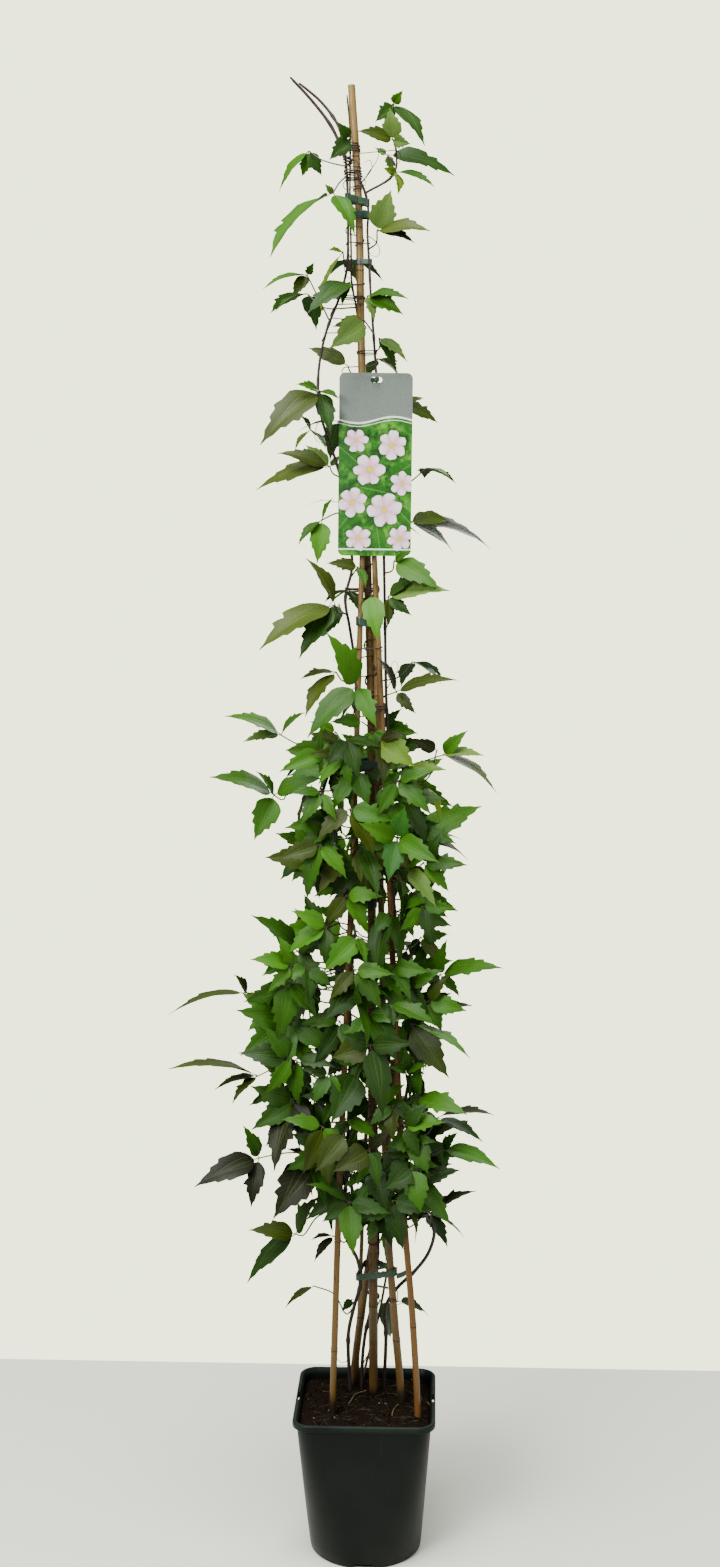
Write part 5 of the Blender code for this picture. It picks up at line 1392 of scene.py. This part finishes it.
def make_fibres():
    """Light root fibres and straws on the soil."""
    rng = random.Random(FIBRE_SEED)
    lines = []
    half = wall_at(SOIL_TOP, WALL)[0] - 0.012
    for _ in range(FIBRES):
        x, y = rng.uniform(-half, half), rng.uniform(-half, half)
        length = rng.uniform(*FIBRE_LONG)
        thick = rng.uniform(*FIBRE_THICK)
        heading = rng.uniform(0, 2 * math.pi)
        bend = rng.uniform(-1.6, 1.6)
        points = []
        for i in range(5):
            aim = heading + bend * i / 4
            lift = 0.0006 + 0.0022 * math.sin(math.pi * i / 4) * rng.random()
            points.append(Vector((x, y, soil_height(x, y) + lift)))
            x = min(max(x + math.cos(aim) * length / 4, -half), half)
            y = min(max(y + math.sin(aim) * length / 4, -half), half)
        lines.append((points, [thick * share for share in FIBRE_TAPER]))
    straws = []
    for places in STRAWS:
        straw = smooth_line([seen_at_height(x, y, SOIL_TOP + 0.003) for x, y in places], 0.004)
        for point in straw:
            point.z = soil_height(point.x, point.y) + 0.0016
        straws.append((straw, [0.0006] * len(straw)))
    fibre = patched_finish("root_fibre", 0.8, 60.0, linear(28, 23, 12), linear(66, 60, 33), (0.4, 0.72))
    put("soil_fibres", tubes_mesh(lines, sides=4), [fibre], "soil", sharp=60)
    finish = Finish("straw", 0.6)
    patch = finish.noise(finish.place(), 90.0)
    finish.set("Base Color", finish.mix(linear(84, 66, 36), linear(120, 100, 62), patch.fade(0.35, 0.65)))
    put("soil_straw", tubes_mesh(straws, sides=6), [finish.material], "soil", sharp=60)


# Canes.


def joints_along(length, first, every, rng):
    """How far up a cane or stem each of its joints is."""
    joints = []
    at = rng.uniform(*first)
    while at < length:
        joints.append(at)
        at += rng.uniform(*every)
    return joints


def cane_outline(tube, rng):
    """Fine points up a cane, their radii and the heights of its joints."""
    fine = smooth_line(tube.points, CANE_FINE)
    length = line_length(fine)
    joints = joints_along(length - CANE_PLAIN_END, CANE_JOINT_FIRST, CANE_JOINT_EVERY, rng)
    stops = [(length * i / (len(fine) - 1), 1.0) for i in range(len(fine))]
    stops = [stop for stop in stops if stop[0] in (0.0, length)
             or all(abs(stop[0] - joint) >= CANE_JOINT_REACH for joint in joints)]
    for joint in joints:
        stops += [(joint + offset, factor) for offset, factor in CANE_JOINT if 0 < joint + offset < length]
    stops.sort()
    points = [point_along(fine, place) for place, _ in stops]
    radii = []
    for place, factor in stops:
        gap = min(abs(place - joint) for joint in joints)
        waist = 1 - CANE_WAIST[0] * min(1.0, gap / CANE_WAIST[1])
        radii.append(tube.radius(place / length) * factor * waist)
    return points, radii, [point_along(fine, joint).z for joint in joints]


def hollowed(shape, top, radius):
    """The cut end of a cane: its top face drawn in and sunk, as the tube inside."""
    cap = [face for face in shape.faces
           if all((vert.co - top).length < 1.3 * radius for vert in face.verts)]
    wall, deep = CANE_CUT
    bmesh.ops.inset_region(shape, faces=cap, thickness=wall * radius)
    bmesh.ops.inset_region(shape, faces=cap, thickness=0.02 * radius, depth=-deep * radius)


def grained(shape, points):
    """Fine ridges that run up the cane."""
    halfway = max(0, len(points) // 2 - 1)
    for vert in shape.verts:
        grain = noise.noise(Vector((vert.co.x * 300, vert.co.y * 300, vert.co.z * 12)))
        middle, _ = nearest_on(points[halfway:halfway + 2], vert.co)
        out = Vector((vert.co.x - middle.x, vert.co.y - middle.y, 0)).normalized()
        vert.co += out * grain * CANE_GRAIN


def cane_marks(mesh, heights, damp_reach, low_tint_and_shade):
    """What the finish reads at each point: how near a joint is, how damp it is, and the low tint, which is
    partly painted shade.
    """
    levels = [vertex.co.z for vertex in mesh.vertices]
    above, high = CANE_SCAR
    near = [min((abs(level - height - above) for height in heights), default=1) for level in levels]
    joints = [max(0.0, 1 - gap / high) for gap in near]
    damp = [min(max(1.4 - (level - SOIL_TOP) / damp_reach, 0.0), 1.0) for level in levels]
    mesh.attributes.new("joint", "FLOAT", "POINT").data.foreach_set("value", joints)
    mesh.attributes.new("damp", "FLOAT", "POINT").data.foreach_set("value", damp)
    tint = mesh.color_attributes.new("tint", "FLOAT_COLOR", "POINT")
    tint.data.foreach_set("color", [*linear(*low_tint_and_shade), 1] * len(levels))


def make_canes(canes):
    """Each cane with its joints, cut end, grain and damp foot."""
    bamboo = bamboo_finish("bamboo_skin", linear(142, 114, 56), linear(92, 68, 30))
    dry = bamboo_finish("dry_wood", linear(126, 98, 62), linear(86, 62, 38))
    for order, (name, tube) in enumerate(canes.items()):
        points, radii, heights = cane_outline(tube, random.Random(CANE_SEED + order))
        shape = opened(tubes_mesh([(points, radii)], sides=18 if tube.foot > 0.004 else 12))
        wood = name == "dry_stake"
        if not wood:
            hollowed(shape, points[-1], tube.top)
        grained(shape, points)
        mesh = mesh_of(shape)
        cane_marks(mesh, heights, *CANES[name][4:])
        skin, slot = (dry, "dry_wood") if wood else (bamboo, "bamboo")
        put(name + "_skin", mesh, [skin], slot, [name], sharp=42)


# Stems, winders and curls.


def stem_line(tube, rng):
    """Fine points up a stem with a swelling at each joint."""
    fine = smooth_line(tube.points, STEM_FINE)
    length = line_length(fine)
    joints = joints_along(length - STEM_PLAIN_END, STEM_JOINT_FIRST, STEM_JOINT_EVERY, rng)
    radii = []
    for i in range(len(fine)):
        place = length * i / (len(fine) - 1)
        gap = min((abs(place - joint) for joint in joints), default=1)
        swelling = 1 + STEM_SWELLING[0] * math.exp(-(gap / STEM_SWELLING[1]) ** 2)
        radii.append(tube.radius(i / (len(fine) - 1)) * swelling)
    radii[-1] *= STEM_TIP
    return fine, radii


def make_stems(stems):
    """Each woody stem with its shoots as one piece; their bark is shared by what winds and curls."""
    bark = bark_finish()
    for order, (name, tubes) in enumerate(stems.items()):
        rng = random.Random(STEM_SEED + order)
        lines = [stem_line(tube, rng) for tube in tubes]
        mesh = tubes_mesh(lines, sides=10)
        put("stem_" + name, mesh, [bark], "foliage", ["leafy_stem_" + name], sharp=60)
    return bark


def hull_ring(circles, gap, samples):
    """The outline of a band pulled round these circles, as a list of x and y."""
    around = []
    for centre, radius in circles:
        for i in range(samples):
            angle = (i + 0.5) / samples * 2 * math.pi
            reach = (radius + gap) / math.cos(math.pi / samples)
            around.append(Vector((centre.x + reach * math.cos(angle), centre.y + reach * math.sin(angle))))
    return [around[i] for i in convex_hull_2d(around)]


def held_circles(tubes, held, z, width):
    """The sections of what a tie holds, at its lower edge, middle and upper edge."""
    circles = []
    for key in held:
        for rise in (-0.5, 0, 0.5):
            found = tubes[key].at_height(z + rise * width)
            if found:
                circles.append(found)
    return circles


def wound_line(tubes, z, turns, rise, radius, start):
    """A line that winds round these canes and stems, climbing this much at each turn."""
    points = []
    count = round(turns * WOUND_STEPS)
    for i in range(count + 1):
        turned = i / WOUND_STEPS
        level = z + rise * (turned - turns / 2)
        aim = Vector((math.cos(start + 2 * math.pi * turned), math.sin(start + 2 * math.pi * turned), 0))
        held = [found for found in (tube.at_height(level) for tube in tubes) if found]
        centre, wide = max(held, key=lambda circle: circle[0].dot(aim) + circle[1])
        wander = WOUND_WANDER * math.sin(turned * 13.5 + z * 40)
        points.append(Vector((centre.x, centre.y, level + wander)) + aim * (wide + radius + WOUND_GAP))
    return points


def make_winders(tubes, bark):
    """Petioles that wind round the canes and stems they climb, and tips that curl in the air."""
    lines = []
    rng = random.Random(WINDER_SEED)
    for y, turns, rise, thick, held in WINDERS:
        z = seen(VIEW["centre"][0], y, 0).z
        radius = thick * MM / 2
        points = wound_line([tubes[key] for key in held], z, turns, rise * MM, radius, rng.uniform(0, 6))
        count = len(points) - 1
        lines.append((points, [radius * min(1.0, 0.45 + (count - i) / 10) for i in range(count + 1)]))
    for places, thick in CURLS:
        points = seen_line(places, CURL_STEP)
        count = len(points) - 1
        start = min((nearest_on(tube.points, points[0])[0] for tube in tubes.values()),
                    key=lambda near: (near - points[0]).length)
        points[0] = start
        lines.append((points, [thick * MM / 2 * (1 - CURL_TAPER * i / count) for i in range(count + 1)]))
    put("wound_petioles", tubes_mesh(lines, sides=8), [bark], "foliage", sharp=60)


# Leaves.


def leaflet_rows():
    """Places up a blade: the share of its length, the tooth there, and how far out it stands."""
    rows = [(v, None, 0.0) for v in (0.0, 0.025, 0.075, 0.145, 0.22)]
    low, high = TOOTH_ZONE
    step = (high - low) / TEETH
    for tooth in range(TEETH):
        start = low + tooth * step
        rows += [(start + 0.10 * step, tooth, -0.5), (start + 0.50 * step, tooth, 0.0),
                 (start + 0.86 * step, tooth, 0.5)]
    return rows + [(0.90, None, 0.0), (1.0, None, 0.0)]


ROWS = leaflet_rows()
WIDEST = BASE_POWER / (BASE_POWER + TIP_POWER)


def blade_half(v):
    """Half the width of a blade, as a share of the most, at this share of its length."""
    return (v / WIDEST) ** BASE_POWER * ((1 - v) / (1 - WIDEST)) ** TIP_POWER


def tooth_cut(rng):
    """How deep each tooth of one edge is; now and then one of the first is a lobe."""
    depths = [rng.uniform(*TOOTH_DEEP) * (0.7 + 0.25 * tooth) for tooth in range(TEETH)]
    if rng.random() < LOBE_CHANCE:
        depths[rng.choice((0, 0, 1))] = rng.uniform(*LOBE_DEEP)
    return depths


def add_leaflet(shape, layers, hub, blade, colour, flipped, rng):
    """A blade with its stalk's end at the base: teeth, a keel along the midrib, and waved edges."""
    tip, width, face = blade
    axis = tip - hub
    length = axis.length
    face = (face - axis * face.dot(axis) / length ** 2).normalized()
    side = face.cross(axis).normalized()
    cuts = {-1: tooth_cut(rng), 1: tooth_cut(rng)}
    twist = rng.uniform(*BLADE_TWIST)
    phase = rng.uniform(0, 6.28)
    wave = rng.uniform(*BLADE_WAVE) * length
    curl = rng.uniform(*BLADE_CURL)
    tint, uv = layers
    order = -1 if flipped else 1
    grown = bmesh.ops.create_grid(shape, x_segments=len(ROWS) - 1, y_segments=COLUMNS, size=0.5)
    where = {}
    for vert in grown["verts"]:
        row = round((vert.co.x + 0.5) * (len(ROWS) - 1))
        s = round(vert.co.y * 2 * COLUMNS) / COLUMNS * order
        v, tooth, out = ROWS[row]
        half = max(blade_half(v), BLADE_LEAST) * width * BLADE_BROAD / 2
        forward = 0.0
        if tooth is not None and abs(s) > 0.01:
            depth = cuts[1 if s > 0 else -1][tooth]
            half *= 1 + depth * out * abs(s) ** 3
            forward = TOOTH_FORWARD * depth * max(0.0, out) * abs(s) ** 4 * 0.14
        u = STALK_SHARE + (1 - STALK_SHARE) * min(1.0, v + forward)
        off = abs(s) * half
        rise = BLADE_ARCH * length * 4 * u * (1 - u)
        rise += BLADE_FOLD * (math.sqrt(off ** 2 + BLADE_KEEL ** 2) - BLADE_KEEL)
        rise += wave * s ** 2 * math.sin(9.5 * v + phase + (1.3 if s > 0 else 0)) * (1 - v) * min(1, v * 5)
        rise -= BLADE_DIP * math.cos(s * 2 * math.pi) * min(1, v * 6) * (1 - v)
        rise -= curl * off
        turn = twist * (v - 0.3)
        across = side * math.cos(turn) + face * math.sin(turn)
        vert.co = hub + axis * u + across * s * half + face * rise
        vert[tint] = (*colour, 1)
        where[vert] = (s * 0.5 + 0.5, v)
    for piece in {piece for vert in grown["verts"] for piece in vert.link_faces}:
        for loop in piece.loops:
            loop[uv].uv = where[loop.vert]


def leaflet_stalk(hub, blade):
    """The short stalk from the hub to just under a leaflet's base, with its radii."""
    tip, _, face = blade
    lift = face * BLADE_ARCH * (tip - hub).length * 4 * STALK_SHARE
    middle = hub.lerp(tip, STALK_SHARE / 2) + lift * 0.5
    base = hub.lerp(tip, STALK_SHARE + 0.02) + lift
    return [hub, middle, base], [STALK_THICK[0] / 2, STALK_THICK[1] / 2, 0.0004]


def varied(letter, rng):
    """A tint a little lighter or darker than its letter's own."""
    base = linear(*TINTS[letter])
    light = rng.uniform(*LEAF_LIGHT)
    warm = rng.uniform(*LEAF_WARM)
    return (base[0] * light * (1 + warm), base[1] * light, base[2] * light * (1 - warm))


def thin_plates(shape, thick):
    """The sheets given their thickness, with the second finish on the lower side."""
    holder = placed("sheets", mesh_of(shape))
    holder.data.materials.append(None)
    holder.data.materials.append(None)
    solid = holder.modifiers.new("thick", "SOLIDIFY")
    solid.thickness = thick
    solid.offset = -1
    solid.material_offset = 1
    solid.material_offset_rim = 0
    return evaluated(holder)


def petiole_tints(mesh, hubs):
    """Green near the leaf and purple brown at the stem."""
    layer = mesh.color_attributes.new("tint", "FLOAT_COLOR", "POINT")
    tree = KDTree(len(hubs))
    for i, hub in enumerate(hubs):
        tree.insert(hub, i)
    tree.balance()
    green = Vector(linear(62, 54, 26))
    brown = Vector(linear(42, 25, 20))
    for vertex, value in zip(mesh.vertices, layer.data):
        share = min(1.0, tree.find(vertex.co)[2] / PETIOLE_BROWNS)
        value.color = (*green.lerp(brown, share), 1)


def make_leaves(stems):
    """For each stem the blades of its leaves as one piece, and their petioles and stalks as another."""
    leaves = hung_leaves(stems)
    tops = leaf_finish("leaf_top", False)
    unders = leaf_finish("leaf_underside", True)
    skin = patched_finish("petiole_skin", 0.5, 120.0, None, linear(44, 24, 22), (0.42, 0.7), 0.5)
    for name in stems:
        shape = bmesh.new()
        layers = (shape.verts.layers.float_color.new("tint"), shape.loops.layers.uv.new("UVMap"))
        lines = []
        hubs = []
        for order, (stem, hub, blades, line, tints) in enumerate(leaves):
            if stem != name:
                continue
            rng = random.Random(BLADE_SEED + order)
            hubs.append(hub)
            path = smooth_line(line, PETIOLE_STEP)
            count = len(path) - 1
            start, end = (thick / 2 for thick in reversed(PETIOLE_THICK))
            lines.append((path, [start + (end - start) * i / count for i in range(count + 1)]))
            for blade, letter in zip(blades, tints):
                add_leaflet(shape, layers, hub, blade, varied(letter, rng), letter in SHOWS_UNDERSIDE, rng)
                lines.append(leaflet_stalk(hub, blade))
        mesh = thin_plates(shape, FINE_BLADE)
        put("leaves_" + name, mesh, [tops, unders], "foliage", ["leafy_stem_" + name], sharp=50)
        mesh = tubes_mesh(lines, sides=6)
        petiole_tints(mesh, hubs)
        put("petioles_" + name, mesh, [skin], "foliage", ["leafy_stem_" + name], sharp=60)


# Ties and the label.


def tape_band(outline, z, width, thick, slant, lap):
    """A strip of tape wound once round an outline, with its end lapped over its start."""
    ring = spaced_round(outline, step=TAPE_STEP)
    count = len(ring)
    middle = sum(ring, Vector((0, 0))) / count
    extra = round(lap / TAPE_STEP)
    shape = bmesh.new()
    verts = []
    for i in range(count + extra):
        point = ring[i % count]
        run = (ring[(i + 1) % count] - ring[i % count - 1]).normalized()
        out = Vector((run.y, -run.x))
        if out.dot(point - middle) < 0:
            out = -out
        over = min(max((i - count + 6) / 6, 0.0), 1.0) * (thick + 0.0002)
        place = point + out * (over + 0.00005)
        low = z - width / 2 + slant * (point.x - middle.x) + TAPE_WANDER * math.sin(i * 0.9 + z * 50)
        verts.append(shape.verts.new((place.x, place.y, low)))
    edges = [shape.edges.new(pair) for pair in zip(verts, verts[1:])]
    for row in range(TAPE_ROWS):
        grown = bmesh.ops.extrude_edge_only(shape, edges=edges)["geom"]
        edges = [part for part in grown if isinstance(part, bmesh.types.BMEdge)
                 and all(vert in grown for vert in part.verts)]
        for i, vert in enumerate(part for part in grown if isinstance(part, bmesh.types.BMVert)):
            vert.co.z += width / TAPE_ROWS + TAPE_WAVE * math.sin(i * 1.7 + row)
    bmesh.ops.recalc_face_normals(shape, faces=shape.faces)
    wrong = sum(1 if face.normal.xy.dot(face.calc_center_median().xy - middle) < 0 else -1
                for face in shape.faces)
    if wrong > 0:
        bmesh.ops.reverse_faces(shape, faces=shape.faces)
    holder = placed("tape", mesh_of(shape))
    solid = holder.modifiers.new("thick", "SOLIDIFY")
    solid.thickness = thick
    solid.offset = 1
    round_edges = holder.modifiers.new("edges", "BEVEL")
    round_edges.width = thick * 0.3
    round_edges.segments = 2
    round_edges.limit_method = "ANGLE"
    return evaluated(holder)


def make_ties(tubes):
    """Each tie as a wound strip, and the loose ends of the wide one; the label's strap shares the tape."""
    tape = tape_finish()
    for name, (y, width, slant, held) in TIES.items():
        z = seen(VIEW["centre"][0], y, 0).z
        outline = hull_ring(held_circles(tubes, held, z, width + TAPE_ROOM), TAPE_GAP, TAPE_SAMPLES)
        put(name + "_tape", tape_band(outline, z, width, TAPE, slant, TAPE_LAP), [tape], "tape", [name])
    for order, (places, width) in enumerate(TAPE_ENDS):
        rings = []
        line = seen_line(places, TAPE_END_STEP)
        for before, point, after in zip([line[0], *line], line, [*line[1:], line[-1]]):
            run = (after - before).normalized()
            out = Vector((run.y, -run.x, 0)).normalized() * TAPE / 2
            rise = Vector((0, 0, width * MM / 2))
            rings.append([point + out - rise, point - out - rise, point - out + rise, point + out + rise])
        put(f"tie_wide_end_{order + 1}", lofted(rings), [tape], "tape")
    return tape


def label_frame():
    """The card's corner and directions: across it, down it and out of its back."""
    top_left = seen(*LABEL_TOP_LEFT, LABEL_DEPTH * MM)
    top_right = seen(*LABEL_TOP_RIGHT, LABEL_DEPTH * MM)
    across = (top_right - top_left).normalized()
    down = Vector((0, 0, -1))
    down = (down - across * down.dot(across)).normalized()
    facing = across.cross(down)
    spread = Matrix((across, down, facing)).transposed().to_4x4()
    spread.translation = top_left
    return spread, (top_right - top_left).length


def print_leaf(finish, picture, x, y, slant, long):
    """A leaf with two pointed ends and a vein, printed over the picture; x and y are from its middle."""
    along = x * math.cos(slant) + y * math.sin(slant)
    off = abs(y * math.cos(slant) - x * math.sin(slant))
    leaf = (off + (along * along) * (1 / long) * 0.45).fade(11.0, 9.6)
    picture = finish.mix(picture, linear(34, 96, 22), leaf * 0.8)
    return finish.mix(picture, linear(96, 160, 64), off.fade(1.2, 0.2) * leaf * 0.5)


def print_rosette(finish, picture, x, y, size, turn):
    """A rosette of six round petals, printed over the picture; x and y are from its middle."""
    lobes = abs((y.maths("ARCTAN2", x) * 3.0 + turn * 3).maths("COSINE"))
    petal = lobes ** 0.5 * 0.42 + 0.58
    edge = (x * x + y * y) ** 0.5 / petal * (1 / size)
    colour = finish.mix(linear(236, 186, 206), linear(250, 236, 240), edge.fade(0.15, 0.9))
    colour = finish.mix(colour, linear(214, 150, 178), lobes.fade(0.95, 0.2) * 0.6)
    picture = finish.mix(picture, linear(10, 40, 10), edge.fade(1.3, 1.0) * 0.5)
    picture = finish.mix(picture, colour, edge.fade(1.03, 0.96))
    picture = finish.mix(picture, linear(180, 184, 96), edge.fade(0.26, 0.20))
    return finish.mix(picture, linear(238, 204, 60), edge.fade(0.18, 0.12))


def card_finish(spread, width):
    """A plain printed card: a grey head, and below a wavy edge a garden green with pale rosettes."""
    finish = Finish("printed_card", 0.28, sheen=0.5)
    where = finish.place()
    from_corner = finish.vectors("SUBTRACT", where, tuple(spread.translation))
    across, down, _ = (tuple(axis) for axis in spread.to_3x3().transposed())
    x = finish.dot(from_corner, across) * (1 / MM)
    y = finish.dot(from_corner, down) * (1 / MM)
    cloud = finish.noise(where, 55.0, 4.0, 0.6)
    patch = finish.cells(where, 90.0)
    picture = finish.ramp(cloud, (0.32, linear(10, 40, 10)), (0.5, linear(40, 104, 24)),
                          (0.7, linear(104, 172, 56)))
    picture = finish.mix(picture, linear(14, 46, 14), patch.fade(0.34, 0.12) * 0.6)
    for cx, cy, slant, long in PRINT_LEAVES:
        picture = print_leaf(finish, picture, x - cx, y - cy, slant, long)
    sway = finish.noise(where, 75.0, 2.0) * 9.0 - 4.5
    lean = finish.noise(where, 62.0, 2.0) * 9.0 - 4.5
    for cx, cy, size, turn in PRINT_ROSETTES:
        picture = print_rosette(finish, picture, x - cx + sway, y - cy + lean, size, turn)
    head, wave = PRINT_HEAD
    below = y - ((x * (2 * math.pi * MM / width)).maths("SINE") * wave + head)
    base = finish.mix(linear(112, 120, 114), picture, below.fade(-0.3, 0.3))
    base = finish.mix(base, linear(240, 242, 236), abs(below).fade(1.5, 1.0))
    base = finish.mix(base, linear(236, 240, 232), abs(below - 4.5).fade(0.7, 0.3) * 0.8)
    foot = abs(y - (LABEL_HEIGHT / MM - PRINT_FOOT))
    finish.set("Base Color", finish.mix(base, linear(236, 240, 232), foot.fade(1.1, 0.8)))
    scuffs = finish.noise(where, 240.0, 3.0)
    finish.set("Roughness", scuffs * 0.16 + 0.2)
    finish.relief(scuffs, 0.0001, 0.15)
    return finish.material


def make_label(tubes, tape):
    """The card with its slot, and the strap through the slot round the middle cane."""
    spread, width = label_frame()
    outline = bpy.data.curves.new("card", "CURVE")
    outline.dimensions = "2D"
    outline.fill_mode = "BOTH"
    outline.extrude = LABEL_CARD / 2 - LABEL_EDGE
    outline.bevel_depth = LABEL_EDGE
    middle = (width / 2, LABEL_HEIGHT / 2)
    half_slot = (LABEL_SLOT[0] / 2, LABEL_SLOT[1] / 2)
    for points in (rounded_points(middle, middle, LABEL_CORNER, 10),
                   rounded_points(LABEL_SLOT_AT, half_slot, LABEL_SLOT_CORNER, 6)):
        spline = outline.splines.new("POLY")
        spline.points.add(len(points) - 1)
        for place, (x, y) in zip(spline.points, points):
            place.co = (x, y, 0, 1)
        spline.use_cyclic_u = True
    mesh = evaluated(placed("card", outline))
    mesh.transform(spread)
    print_side = card_finish(spread, width)
    put("label_card_print", closed_up(mesh, 0.000004), [print_side], "card", ["label_card"], sharp=30)
    slot_middle = spread @ Vector((*LABEL_SLOT_AT, 0))
    cane, radius = tubes["cane_centre"].at_height(slot_middle.z)
    front = Vector((slot_middle.x, slot_middle.y - LOOP_FRONT[0], 0))
    ring = hull_ring([(cane, radius), (front, LOOP_FRONT[1])], LOOP_GAP, LOOP_SAMPLES)
    band = tape_band(ring, slot_middle.z, *LOOP_TAPE, 0, LOOP_LAP)
    put("label_loop_tape", band, [tape], "tape", ["label_loop"])


# The stage.


def make_stage():
    """The floor, the studio's light and backdrop, and its lamps."""
    shape = bmesh.new()
    bmesh.ops.create_grid(shape, x_segments=1, y_segments=1, size=1.0)
    bmesh.ops.scale(shape, vec=FLOOR, verts=shape.verts)
    floor = placed("floor", mesh_of(shape))
    finish = Finish("pale_floor", 0.8)
    finish.set("Base Color", linear(228, 228, 217))
    floor.data.materials.append(finish.material)
    world = bpy.data.worlds.new("studio")
    bpy.context.scene.world = world
    world.use_nodes = True
    nodes, links = world.node_tree.nodes, world.node_tree.links
    # The backdrop is brighter to the camera than the light that it throws on the plant.
    path = nodes.new("ShaderNodeLightPath")
    glow = nodes.new("ShaderNodeMix")
    glow.data_type = "RGBA"
    for socket, (tint, strength) in ((6, STUDIO_LIGHT), (7, STUDIO_BACKDROP)):
        glow.inputs[socket].default_value = (*(part * strength for part in linear(*tint)), 1)
    links.new(path.outputs["Is Camera Ray"], glow.inputs[0])
    links.new(glow.outputs[2], nodes["Background"].inputs["Color"])
    for name, place, aim, size, power in LAMPS:
        lamp = bpy.data.lights.new(name, "AREA")
        lamp.size = size
        lamp.energy = power
        holder = placed(name, lamp)
        holder.location = place
        holder.rotation_euler = (Vector(aim) - Vector(place)).to_track_quat("-Z", "Y").to_euler()


def make_camera():
    lens = bpy.data.cameras.new("view")
    lens.sensor_fit = "VERTICAL"
    lens.sensor_height = SENSOR
    lens.lens = VIEW["focal"] / PICTURE_HEIGHT * SENSOR
    camera = placed("view", lens)
    camera.location = eye()
    camera.rotation_euler = (math.radians(90) - VIEW_PITCH, 0, VIEW_TURN.to_euler().z)
    bpy.context.scene.camera = camera


def main():
    make_camera()
    make_stage()
    canes = cane_paths()
    stems = stem_paths(canes)
    tubes = {**canes, **{name: lines[0] for name, lines in stems.items()}}
    make_pot()
    make_soil()
    make_crumbs()
    make_fibres()
    make_canes(canes)
    bark = make_stems(stems)
    make_winders(tubes, bark)
    make_leaves(stems)
    tape = make_ties(tubes)
    make_label(tubes, tape)


main()
